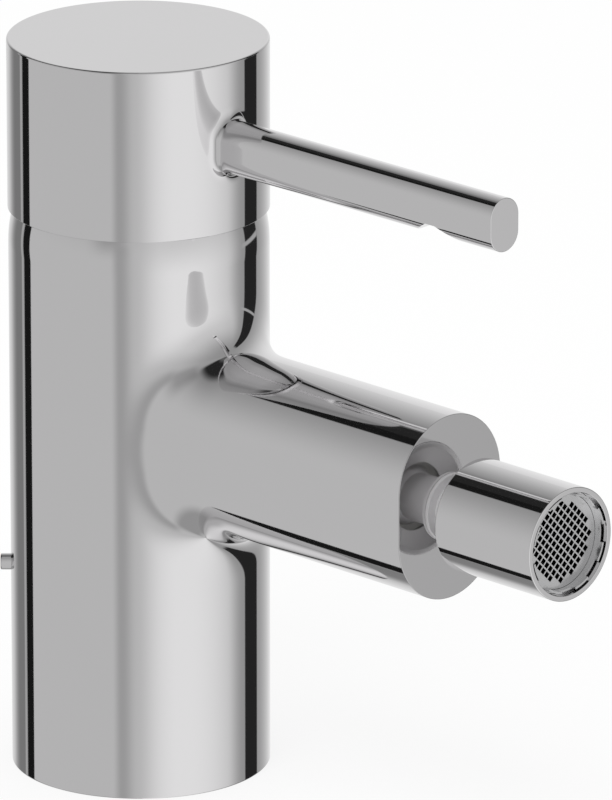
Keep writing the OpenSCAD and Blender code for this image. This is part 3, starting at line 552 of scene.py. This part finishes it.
def finger_notch(s):
    """The wedge that is taken out of the bar's underside."""
    near = s.reach - s.notch_back
    step, far = near + s.notch_step, near + s.notch_length
    under = s.level - s.height / 2
    overshoot = 2 * MM
    below, roof = under - overshoot, under + s.notch_depth
    profile = [(near, below), (near, under), (step, roof), (step + s.notch_flat, roof), (far, under),
               (far, below)]
    sides = [[(x, -u, z) for u, z in profile] for x in (-s.width, s.width)]
    count = len(profile)
    faces = [tuple(range(count)), tuple(range(2 * count - 1, count - 1, -1))]
    faces += [(i, i + count, (i + 1) % count + count, (i + 1) % count) for i in range(count)]
    mesh = bpy.data.meshes.new("finger_notch")
    mesh.from_pydata(sides[0] + sides[1], [], faces)
    obj = bpy.data.objects.new("finger_notch", mesh)
    bpy.context.scene.collection.objects.link(obj)
    return join("finger_notch", [obj])


# Turned pieces
def turned_piece(name, outline, place=None, sides=128):
    """A closed turned piece, built along +Z from its outline and then put in its place."""
    obj, points, normals = skin(name, [turned_rows(np.linspace(math.pi, -math.pi, sides + 1), outline)])
    set_normals(obj, points, normals)
    if place:
        obj.data.transform(place)
        obj.data.update()
    return obj


def along_spout(u):
    """The place of a piece built along +Z, with its foot on the spout's axis at u from the column's."""
    return Matrix.Translation((0, -u, SPOUT_LEVEL)) @ Matrix.Rotation(math.pi / 2, 4, "X")


def build_barrel(s):
    """The aerator barrel, with a dished back, a round socket and a crisp mouth."""
    low, high = BOX["aerator_barrel"]
    radius, length = high.x, high.y - low.y
    ball = BALL + high.y
    shoulder = -BOX["seal_retainer"][0].y + high.y
    dish = radius - s.back_edge - s.back_rim
    lip_end = s.dish + s.lip
    slope = math.degrees(math.acos(s.opening / s.socket))
    outline = corners((s.opening, lip_end), (s.opening, s.dish), (dish, 0), (radius - s.back_edge, 0))
    outline += arc(radius - s.back_edge, s.back_edge, s.back_edge, -90, 0, steps=6)
    outline += arc(radius - s.front_edge, length - s.front_edge, s.front_edge, 0, 90, steps=4)
    outline += arc(s.mouth + s.mouth_edge, length - s.mouth_edge, s.mouth_edge, 90, 180, steps=3)
    outline += [(s.mouth, shoulder, -1, 0), (s.mouth, shoulder, 0, 1), (s.socket, shoulder, 0, 1),
                (s.socket, shoulder, -1, 0)]
    outline += arc(0, ball, s.socket, 0, -slope, steps=10, hollow=True) + [(s.opening, lip_end, -1, 0)]
    return turned_piece("barrel_skin", outline, along_spout(-high.y), sides=160)


def build_nipple(s):
    """The ball joint's ball, neck, collar and threaded shank, with a fillet at the neck's root."""
    low, high = BOX["ball_joint_nipple"]
    face = -BOX["body"][0].y
    back, ball, front = -high.y - face, BALL - face, -low.y - face
    neck_meets = math.degrees(math.asin(s.neck / s.ball))
    flat = math.degrees(math.asin((front - ball) / s.ball))
    edge, root = 0.08 * MM, 0.3 * MM
    outline = [(s.bore, back, 0, -1), (s.shank, back, 0, -1), (s.shank, back, 1, 0), (s.shank, 0, 1, 0),
               (s.shank, 0, 0, -1)]
    outline += arc(s.collar - edge, edge, edge, -90, 0, steps=3)
    outline += arc(s.collar - edge, s.collar_depth - edge, edge, 0, 90, steps=3)
    outline += arc(s.neck + root, s.collar_depth + root, root, -90, -180, steps=4, hollow=True)
    outline += [(s.neck, ball - s.ball * math.cos(math.radians(neck_meets)), 1, 0)]
    outline += arc(0, ball, s.ball, neck_meets - 90, flat, steps=22)
    outline += [(s.ball * math.cos(math.radians(flat)), front, 0, 1), (s.bore, front, 0, 1),
                (s.bore, front, -1, 0), (s.bore, back, -1, 0), (s.bore, back, 0, -1)]
    return turned_piece("nipple_skin", outline, along_spout(face))


def build_pin(s):
    """The lift pin, with a rounded end, along the way that it points."""
    low, high = BOX["lift_pin"]
    radius, level = (high.z - low.z) / 2, (high.z + low.z) / 2
    outwards = Vector((low.x + high.x, low.y + high.y, 0)).normalized()
    start = (high.x - radius * abs(outwards.y)) / outwards.x
    length = (low.x + (radius - s.pin_edge) * abs(outwards.y)) / outwards.x - start
    outline = corners((0, 0), (radius, 0), (radius, length - s.pin_edge))
    outline += arc(radius - s.pin_edge, length - s.pin_edge, s.pin_edge, 0, 90, steps=6)
    outline += [(0, length, 0, 1)]
    turn = Vector((0, 0, 1)).rotation_difference(outwards).to_matrix().to_4x4()
    place = Matrix.Translation(outwards * start + Vector((0, 0, level))) @ turn
    return turned_piece("lift_pin_skin", outline, place, sides=64)


def build_plug(s):
    """The plug over the lever's set screw, with a crisp rounded edge."""
    low, high = BOX["set_screw_plug"]
    radius, level, length = high.x, (high.z + low.z) / 2, high.y - low.y
    outline = [(0, 0, 0, -1), (radius, 0, 0, -1), (radius, 0, 1, 0)]
    outline += arc(radius - s.plug_edge, length - s.plug_edge, s.plug_edge, 0, 90, steps=4)
    outline += [(0, length, 0, 1)]
    place = Matrix.Translation((0, low.y, level)) @ Matrix.Rotation(-math.pi / 2, 4, "X")
    return turned_piece("set_screw_plug_skin", outline, place, sides=64)


def build_cover(s):
    """The chrome dome over the cartridge nut."""
    low, high = BOX["cover_ring"]
    dome = BOX["body"][1].x - s.cover_gap
    start, end = (math.degrees(math.asin((z - PIVOT) / dome)) for z in (low.z, high.z))
    outline = arc(0, PIVOT, dome, start, end, steps=12)
    rim = outline[-1][0]
    lid = high.z - s.cover_lid
    outline += inward(corners((rim, high.z), (s.cover_opening, high.z), (s.cover_opening, lid),
                              (s.cover_inside, lid), (s.cover_inside, low.z), (outline[0][0], low.z)))
    return turned_piece("cover_skin", outline)


# Materials
def add_node(tree, kind, **settings):
    """A new node with its settings."""
    node = tree.nodes.new(f"ShaderNode{kind}")
    for name, value in settings.items():
        setattr(node, name, value)
    return node


def link(tree, value, socket):
    """Gives an input another node's output, or a plain value."""
    if isinstance(value, bpy.types.NodeSocket):
        tree.links.new(value, socket)
    else:
        socket.default_value = value


def math_node(tree, operation, *values):
    """The result of a math node."""
    node = add_node(tree, "Math", operation=operation)
    for socket, value in zip(node.inputs, values):
        link(tree, value, socket)
    return node.outputs[0]


def scaled_colour(tree, colour_socket, factor):
    """A colour times a factor."""
    node = add_node(tree, "VectorMath", operation="SCALE")
    link(tree, colour_socket, node.inputs[0])
    link(tree, factor, node.inputs["Scale"])
    return node.outputs[0]


def new_group(name, inputs, outputs):
    """A node group with its sockets, given as names and kinds, and the ends that its nodes link to."""
    tree = bpy.data.node_groups.new(name, "ShaderNodeTree")
    for direction, sockets in (("INPUT", inputs), ("OUTPUT", outputs)):
        for socket, kind in sockets.items():
            tree.interface.new_socket(socket, in_out=direction, socket_type=f"NodeSocket{kind}")
    inner, outer = tree.nodes.new("NodeGroupInput"), tree.nodes.new("NodeGroupOutput")
    return tree, inner.outputs, outer.inputs


# The grain's inputs after the colour, in the order of the table of finishes
GRAIN_KEYS = ("Roughness", "Spread", "Variation", "Scale", "Fine")


def grain_group():
    """Slight changes of colour, gloss and height over a surface, with a slow part and a fine part."""
    inputs = {"Colour": "Color"} | dict.fromkeys(GRAIN_KEYS, "Float")
    outputs = {"Colour": "Color", "Roughness": "Float", "Height": "Float"}
    tree, given, out = new_group("surface_grain", inputs, outputs)
    place = add_node(tree, "TexCoord")
    slow, fine = (add_node(tree, "TexNoise") for _ in range(2))
    slow.inputs["Detail"].default_value = 3
    fine.inputs["Detail"].default_value = 4
    fine_scale = math_node(tree, "MULTIPLY", given["Scale"], given["Fine"])
    for noise, scale in ((slow, given["Scale"]), (fine, fine_scale)):
        link(tree, place.outputs["Object"], noise.inputs["Vector"])
        link(tree, scale, noise.inputs["Scale"])
    change = math_node(tree, "SUBTRACT", slow.outputs["Fac"], 0.5)
    factor = math_node(tree, "MULTIPLY_ADD", change, given["Variation"], 1.0)
    link(tree, scaled_colour(tree, given["Colour"], factor), out["Colour"])
    change = math_node(tree, "SUBTRACT", fine.outputs["Fac"], 0.5)
    roughness = math_node(tree, "MULTIPLY_ADD", change, given["Spread"], given["Roughness"])
    link(tree, roughness, out["Roughness"])
    link(tree, fine.outputs["Fac"], out["Height"])
    return tree


# The inputs that tell how a finish changes along the spout, in the order of their table
FACING_KEYS = ("By place", "From", "To", "Tint", "Dull")


def facing_group():
    """Changes colour and roughness where the surface faces along the spout, or by its place along it; the grille's
    nearly black hole walls are painted shade.
    """
    surface = {"Colour": "Color", "Roughness": "Float"}
    tree, given, out = new_group("surface_facing", surface | dict.fromkeys(FACING_KEYS, "Float"), surface)
    place = add_node(tree, "TexCoord")
    choice = add_node(tree, "Mix", data_type="VECTOR")
    link(tree, given["By place"], choice.inputs["Factor"])
    link(tree, place.outputs["Normal"], choice.inputs["A"])
    link(tree, place.outputs["Object"], choice.inputs["B"])
    split = add_node(tree, "SeparateXYZ")
    link(tree, choice.outputs["Result"], split.inputs[0])
    mask = add_node(tree, "MapRange")
    link(tree, split.outputs["Y"], mask.inputs["Value"])
    link(tree, given["From"], mask.inputs["From Min"])
    link(tree, given["To"], mask.inputs["From Max"])
    less = math_node(tree, "SUBTRACT", given["Tint"], 1.0)
    factor = math_node(tree, "MULTIPLY_ADD", less, mask.outputs[0], 1.0)
    link(tree, scaled_colour(tree, given["Colour"], factor), out["Colour"])
    more = math_node(tree, "MULTIPLY", given["Dull"], mask.outputs[0])
    link(tree, math_node(tree, "ADD", given["Roughness"], more), out["Roughness"])
    return tree


# Finishes that change along the spout: the finish that they start from, whether by place (1) or by the
# way the surface faces (0), the limits from none to all of the change, the tint and the added roughness.
# The grille's tint is painted shade: the walls of its holes, which face across the spout, are made nearly
# black in place of the dark that falls inside them.
END_FACE = BOX["body"][0].y
FACINGS = {
    "cast_chrome": ("chrome", 1, END_FACE + 0.2 * MM, END_FACE + 0.1 * MM, 0.77, 0.03),
    "barrel_chrome": ("chrome", 0, 0.55, 0.75, 0.95, 0.40),
    # painted shade: nearly black hole walls (tint 0.012) stand in for the dark inside the grille's holes
    "grille": ("satin", 0, -0.95, -0.60, 0.012, 0.30),
}
# Each finish: metallic, roughness, its spread, the colour's variation, the grain's scale, how much finer
# its fine part is, the bump in metres and the index of refraction
FINISHES = {
    "chrome": (1.0, 0.04, 0.015, 0.012, 60, 12, 0.0, 1.5),
    "steel": (1.0, 0.28, 0.12, 0.06, 120, 10, 0.0, 1.5),
    "brass": (1.0, 0.25, 0.10, 0.06, 90, 10, 0.0, 1.5),
    "rubber": (0.0, 0.62, 0.15, 0.25, 200, 8, 0.00002, 1.5),
    "white": (0.0, 0.42, 0.08, 0.04, 150, 8, 0.00001, 1.5),
    "grey": (0.0, 0.40, 0.08, 0.06, 150, 8, 0.00001, 1.5),
    "satin": (1.0, 0.24, 0.06, 0.04, 150, 8, 0.0, 1.5),
    "nickel": (0.55, 0.38, 0.06, 0.04, 150, 8, 0.0, 1.5),
    "black": (0.0, 0.45, 0.08, 0.10, 150, 8, 0.00001, 1.5),
    "blue": (0.0, 0.38, 0.08, 0.06, 150, 8, 0.00001, 1.5),
    "ceramic": (0.0, 0.16, 0.05, 0.03, 80, 12, 0.0, 1.7),
}
SLOT_FINISH = {"chrome_body": "chrome", "chrome_handle": "chrome", "chrome_barrel": "chrome",
               "chrome_small": "chrome", "steel": "steel", "brass": "brass", "rubber_seal": "rubber",
               "white_plastic": "white", "grey_plastic": "grey", "blue_plastic": "blue",
               "aerator_plastic": "satin", "black_plastic": "black", "ceramic": "ceramic"}


def finish(name):
    """A material from the Principled shader, with the grain in front and what changes along the spout."""
    if name in bpy.data.materials:
        return bpy.data.materials[name]
    base = FACINGS[name][0] if name in FACINGS else name
    metallic, *grain_values, bump, ior = FINISHES[base]
    tone = getattr(bpy.context.scene.mixer_finish, base)
    material = bpy.data.materials.new(name)
    material.use_nodes = True
    tree = material.node_tree
    shader = tree.nodes["Principled BSDF"]
    group = bpy.data.node_groups.get("surface_grain") or grain_group()
    grain = add_node(tree, "Group", node_tree=group)
    link(tree, (*tone, 1), grain.inputs["Colour"])
    for key, value in zip(GRAIN_KEYS, grain_values):
        link(tree, value, grain.inputs[key])
    surface = grain.outputs
    if name in FACINGS:
        group = bpy.data.node_groups.get("surface_facing") or facing_group()
        facing = add_node(tree, "Group", node_tree=group)
        for key, value in zip(FACING_KEYS, FACINGS[name][1:]):
            link(tree, value, facing.inputs[key])
        link(tree, surface["Colour"], facing.inputs["Colour"])
        link(tree, surface["Roughness"], facing.inputs["Roughness"])
        surface = facing.outputs
    link(tree, surface["Colour"], shader.inputs["Base Color"])
    link(tree, surface["Roughness"], shader.inputs["Roughness"])
    link(tree, metallic, shader.inputs["Metallic"])
    link(tree, ior, shader.inputs["IOR"])
    if bump:
        node = add_node(tree, "Bump")
        link(tree, bump, node.inputs["Distance"])
        link(tree, grain.outputs["Height"], node.inputs["Height"])
        link(tree, node.outputs["Normal"], shader.inputs["Normal"])
    return material


def dress(obj, name):
    """Gives a piece one finish."""
    obj.data.materials.clear()
    obj.data.materials.append(finish(name))


# Studio
# The photo's camera: its place in metres, its right and up, the azimuth in degrees that it looks from and
# its sensor's width in millimetres. The lamp's place and what it is aimed at are in metres.
CAMERA_PLACE = Vector((-1.44297, -1.49894, 0.74427))
CAMERA_RIGHT = Vector((0.7097, -0.7045, 0.0))
CAMERA_UP = Vector((0.2165, 0.2181, 0.9516))
CAMERA_AZIMUTH = -134.8
SENSOR_WIDTH = 36
LAMP_PLACE = Vector((-0.9, -0.5, 1.6))
LAMP_AIM = Vector((0, 0, 0.08))
# Tone of the studio's walls, and each panel over them that the chrome mirrors: its azimuths (from the
# camera's, to the right) and its elevations, each as start, full, full and end in degrees, and its tone.
# A later panel lies over the others.
WALL_TONE = 0.5565
PANELS = {
    "right_wall": ((-5, 22, 58, 106), (-91, -90, 90, 91), 0.70),
    "softbox": ((-3, 34, 44, 106), (-91, -90, -18, 12), 0.89),
    "right_shade": ((84, 106, 181, 182), (-91, -90, 90, 91), 0.34),
    "back_right": ((122, 178, 181, 182), (-91, -90, 90, 91), 0.86),
    "back_left": ((-182, -181, -180, -142), (-91, -90, 90, 91), 0.84),
    "left_shade": ((-157, -136.5, -125, -117), (-91, -90, 90, 91), 0.21),
    "corner_shade": ((-25, -16.5, -15.5, -2), (-60, -45, 5, 20), 0.39),
    "upper_corner_shade": ((-50, -28, -20, -6), (-5, 18, 40, 55), 0.37),
    "floor_shade": ((-182, -181, -30, -10), (-90, -80, -58, -44), 0.34),
    "ceiling_left": ((-182, -181, -40, 0), (-5, 88, 90, 91), 0.12),
    "ceiling_right": ((-40, 0, 181, 182), (0, 80, 90, 91), 0.33),
    "ceiling_flag": ((-142, -136, -32, -20), (48, 62, 78, 86), 0.02),
    "left_flag_top": ((-140, -137, -113, -109), (40, 46, 60, 64), 0.02),
    "left_flag_seam": ((-127, -125, -123.5, -121.8), (-34, -28, 5, 25), 0.42),
    "left_flag": ((-122.0, -121.2, -111.2, -110.4), (-70, -60, 60, 62), 0.01),
    "right_flag": ((106.8, 108.4, 127.0, 128.6), (-70, -60, 62, 70), 0.02),
    "right_flag_seam": ((100, 106, 126, 130), (-9.5, -8.6, -7.2, -6.3), 0.40),
}


def grey(tone):
    """A grey colour with its alpha."""
    return (tone, tone, tone, 1)


def mix_colour(tree, factor, a, b):
    """Mixes two colours, each a socket or a colour."""
    mix = add_node(tree, "Mix", data_type="RGBA")
    link(tree, factor, mix.inputs["Factor"])
    link(tree, a, mix.inputs["A"])
    link(tree, b, mix.inputs["B"])
    return mix.outputs["Result"]


def panel_group():
    """Lays one soft-edged panel of the studio over what is behind it."""
    limits = [f"{kind} {i}" for kind in ("Azimuth", "Elevation") for i in range(4)]
    numbers = dict.fromkeys(["Azimuth", "Elevation", *limits, "Tone"], "Float")
    tree, given, out = new_group("studio_panel", {"Under": "Color"} | numbers, {"Over": "Color"})
    mask = 1.0
    for kind in ("Azimuth", "Elevation"):
        for low, high in ((0, 1), (3, 2)):
            node = add_node(tree, "MapRange", interpolation_type="SMOOTHSTEP")
            link(tree, given[kind], node.inputs["Value"])
            link(tree, given[f"{kind} {low}"], node.inputs["From Min"])
            link(tree, given[f"{kind} {high}"], node.inputs["From Max"])
            mask = math_node(tree, "MULTIPLY", mask, node.outputs["Result"])
    link(tree, mix_colour(tree, mask, given["Under"], given["Tone"]), out["Over"])
    return tree


def build_world(s):
    """White behind the object, even light on plain surfaces, and a studio of panels in the chrome."""
    world = bpy.data.worlds.new("studio")
    bpy.context.scene.world = world
    world.use_nodes = True
    tree = world.node_tree
    background = tree.nodes["Background"]
    coord = add_node(tree, "TexCoord")
    split = add_node(tree, "SeparateXYZ")
    link(tree, coord.outputs["Generated"], split.inputs[0])
    degrees = 180 / math.pi
    azimuth = math_node(tree, "ARCTAN2", split.outputs["Y"], split.outputs["X"])
    azimuth = math_node(tree, "MULTIPLY", azimuth, degrees)
    azimuth = math_node(tree, "SUBTRACT", azimuth, CAMERA_AZIMUTH)
    azimuth = math_node(tree, "WRAP", azimuth, 180.0, -180.0)
    elevation = math_node(tree, "MULTIPLY", math_node(tree, "ARCSINE", split.outputs["Z"]), degrees)
    group = panel_group()
    tone = grey(WALL_TONE)
    for name, (turns, rises, value) in PANELS.items():
        node = add_node(tree, "Group", node_tree=group, label=name)
        for socket, number in zip(node.inputs, (tone, azimuth, elevation, *turns, *rises, value)):
            link(tree, number, socket)
        tone = node.outputs["Over"]
    path = add_node(tree, "LightPath")
    plain = mix_colour(tree, path.outputs["Is Glossy Ray"], grey(s.ambient), tone)
    shown = mix_colour(tree, path.outputs["Is Camera Ray"], plain, grey(1))
    link(tree, shown, background.inputs["Color"])
    link(tree, 1.0, background.inputs["Strength"])


def build_floor(s):
    """A pale floor that is nearly white to the camera and keeps the object's shadow."""
    bpy.ops.mesh.primitive_plane_add(size=s.floor_size, location=(0, 0, 0))
    floor = bpy.context.object
    floor.name = "floor"
    material = bpy.data.materials.new("floor_white")
    material.use_nodes = True
    tree = material.node_tree
    shader = tree.nodes["Principled BSDF"]
    link(tree, grey(s.floor_tone), shader.inputs["Base Color"])
    link(tree, s.floor_rough, shader.inputs["Roughness"])
    link(tree, 0.0, shader.inputs["Specular IOR Level"])
    glow = add_node(tree, "Emission")
    path = add_node(tree, "LightPath").outputs
    mirrored = math_node(tree, "MAXIMUM", path["Is Glossy Ray"], path["Is Transmission Ray"])
    seen = math_node(tree, "MAXIMUM", path["Is Camera Ray"], mirrored)
    mix = add_node(tree, "MixShader")
    link(tree, math_node(tree, "MULTIPLY", seen, s.floor_white), mix.inputs["Fac"])
    link(tree, shader.outputs[0], mix.inputs[1])
    link(tree, glow.outputs[0], mix.inputs[2])
    link(tree, mix.outputs[0], tree.nodes["Material Output"].inputs["Surface"])
    floor.data.materials.append(material)
    floor.visible_glossy = False


def build_lamp(s):
    """One large soft lamp at the upper left."""
    bpy.ops.object.light_add(type="AREA", location=LAMP_PLACE)
    lamp = bpy.context.object
    lamp.name = "softbox"
    lamp.data.shape = "DISK"
    lamp.data.size = s.lamp_size
    lamp.data.energy = s.lamp
    lamp.rotation_euler = (LAMP_AIM - LAMP_PLACE).to_track_quat("-Z", "Y").to_euler()
    lamp.visible_glossy = False
    lamp.visible_camera = False


def build_camera(s):
    """The camera of the photo."""
    camera = bpy.data.objects.new("camera", bpy.data.cameras.new("camera"))
    bpy.context.scene.collection.objects.link(camera)
    right, up = CAMERA_RIGHT.normalized(), CAMERA_UP.normalized()
    turn = Matrix((right, up, right.cross(up))).transposed().to_4x4()
    camera.matrix_world = Matrix.Translation(CAMERA_PLACE) @ turn
    camera.data.lens = s.lens
    camera.data.sensor_width = SENSOR_WIDTH
    camera.data.clip_start, camera.data.clip_end = 0.05, 50
    bpy.context.scene.camera = camera


# Operators, in the order in which they run
class MIXER_OT_finishes(bpy.types.Operator):
    """Gives every piece of the pack its finish, with painted shade in the grille's holes"""
    bl_idname = "mixer.finishes"
    bl_label = "Finishes"

    def execute(self, context):
        for part in frame["record"]["subparts"]:
            # the grille's look darkens its hole walls with painted shade
            look = "grille" if part["node"] == "outlet_grille" else SLOT_FINISH[part["material_slot"]]
            dress(frame["nodes"][part["node"]], look)
        return {"FINISHED"}


class MIXER_OT_column(bpy.types.Operator):
    """Builds the chrome skin of the column and its spout"""
    bl_idname = "mixer.column"
    bl_label = "Column and spout"

    def execute(self, context):
        column = build_column(context.scene.mixer_casting)
        finish_piece(column, "column", "body", "chrome_body", "cast_chrome")
        return {"FINISHED"}


class MIXER_OT_lever(bpy.types.Operator):
    """Builds the chrome skin of the lever cap and its bar"""
    bl_idname = "mixer.lever"
    bl_label = "Lever cap"

    def execute(self, context):
        finish_piece(build_lever(context.scene.mixer_lever), "handle", "lever_handle", "chrome_handle")
        return {"FINISHED"}


class MIXER_OT_nozzle(bpy.types.Operator):
    """Builds the chrome skins of the aerator barrel and the ball joint behind it"""
    bl_idname = "mixer.nozzle"
    bl_label = "Nozzle"

    def execute(self, context):
        sizes = context.scene.mixer_nozzle
        finish_piece(build_barrel(sizes), "nozzle", "aerator_barrel", "chrome_barrel", "barrel_chrome")
        finish_piece(build_nipple(sizes), "column", "ball_joint_nipple", "chrome_small", "nickel")
        return {"FINISHED"}


class MIXER_OT_small(bpy.types.Operator):
    """Builds the small chrome pieces: the cover ring, the lift pin and the set screw's plug"""
    bl_idname = "mixer.small"
    bl_label = "Small chrome pieces"

    def execute(self, context):
        sizes = context.scene.mixer_small
        finish_piece(build_cover(sizes), "column", "cover_ring", "chrome_small")
        finish_piece(build_pin(sizes), "lift", "lift_pin", "chrome_small")
        finish_piece(build_plug(sizes), "handle", "set_screw_plug", "chrome_small")
        return {"FINISHED"}


class MIXER_OT_stage(bpy.types.Operator):
    """Builds the floor, the light and the camera"""
    bl_idname = "mixer.stage"
    bl_label = "Studio"

    def execute(self, context):
        settings = context.scene.mixer_studio
        context.scene.view_settings.view_transform = "Standard"
        build_world(settings)
        build_floor(settings)
        build_lamp(settings)
        build_camera(settings)
        return {"FINISHED"}


GROUPS = {"mixer_casting": CastingSizes, "mixer_lever": LeverSizes, "mixer_nozzle": NozzleSizes,
          "mixer_small": SmallSizes, "mixer_finish": FinishColours, "mixer_studio": StudioSettings}
OPERATORS = (MIXER_OT_finishes, MIXER_OT_column, MIXER_OT_lever, MIXER_OT_nozzle, MIXER_OT_small,
             MIXER_OT_stage)


class MIXER_PT_panel(bpy.types.Panel):
    """Lists the sizes and the steps of the build"""
    bl_idname = "MIXER_PT_panel"
    bl_label = "Bidet mixer"
    bl_space_type = "VIEW_3D"
    bl_region_type = "UI"
    bl_category = "Mixer"

    def draw(self, context):
        for name in GROUPS:
            box = self.layout.box()
            settings = getattr(context.scene, name)
            for key in settings.__annotations__:
                box.prop(settings, key)
        for operator in OPERATORS:
            self.layout.operator(operator.bl_idname)


def register():
    for cls in (*GROUPS.values(), *OPERATORS, MIXER_PT_panel):
        bpy.utils.register_class(cls)
    for name, cls in GROUPS.items():
        setattr(bpy.types.Scene, name, PointerProperty(type=cls))


def unregister():
    for name in GROUPS:
        delattr(bpy.types.Scene, name)
    for cls in reversed((*GROUPS.values(), *OPERATORS, MIXER_PT_panel)):
        bpy.utils.unregister_class(cls)


def main():
    register()
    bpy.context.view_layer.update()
    for operator in OPERATORS:
        getattr(bpy.ops.mixer, operator.bl_idname.split(".")[1])()


if __name__ == "__main__":
    main()
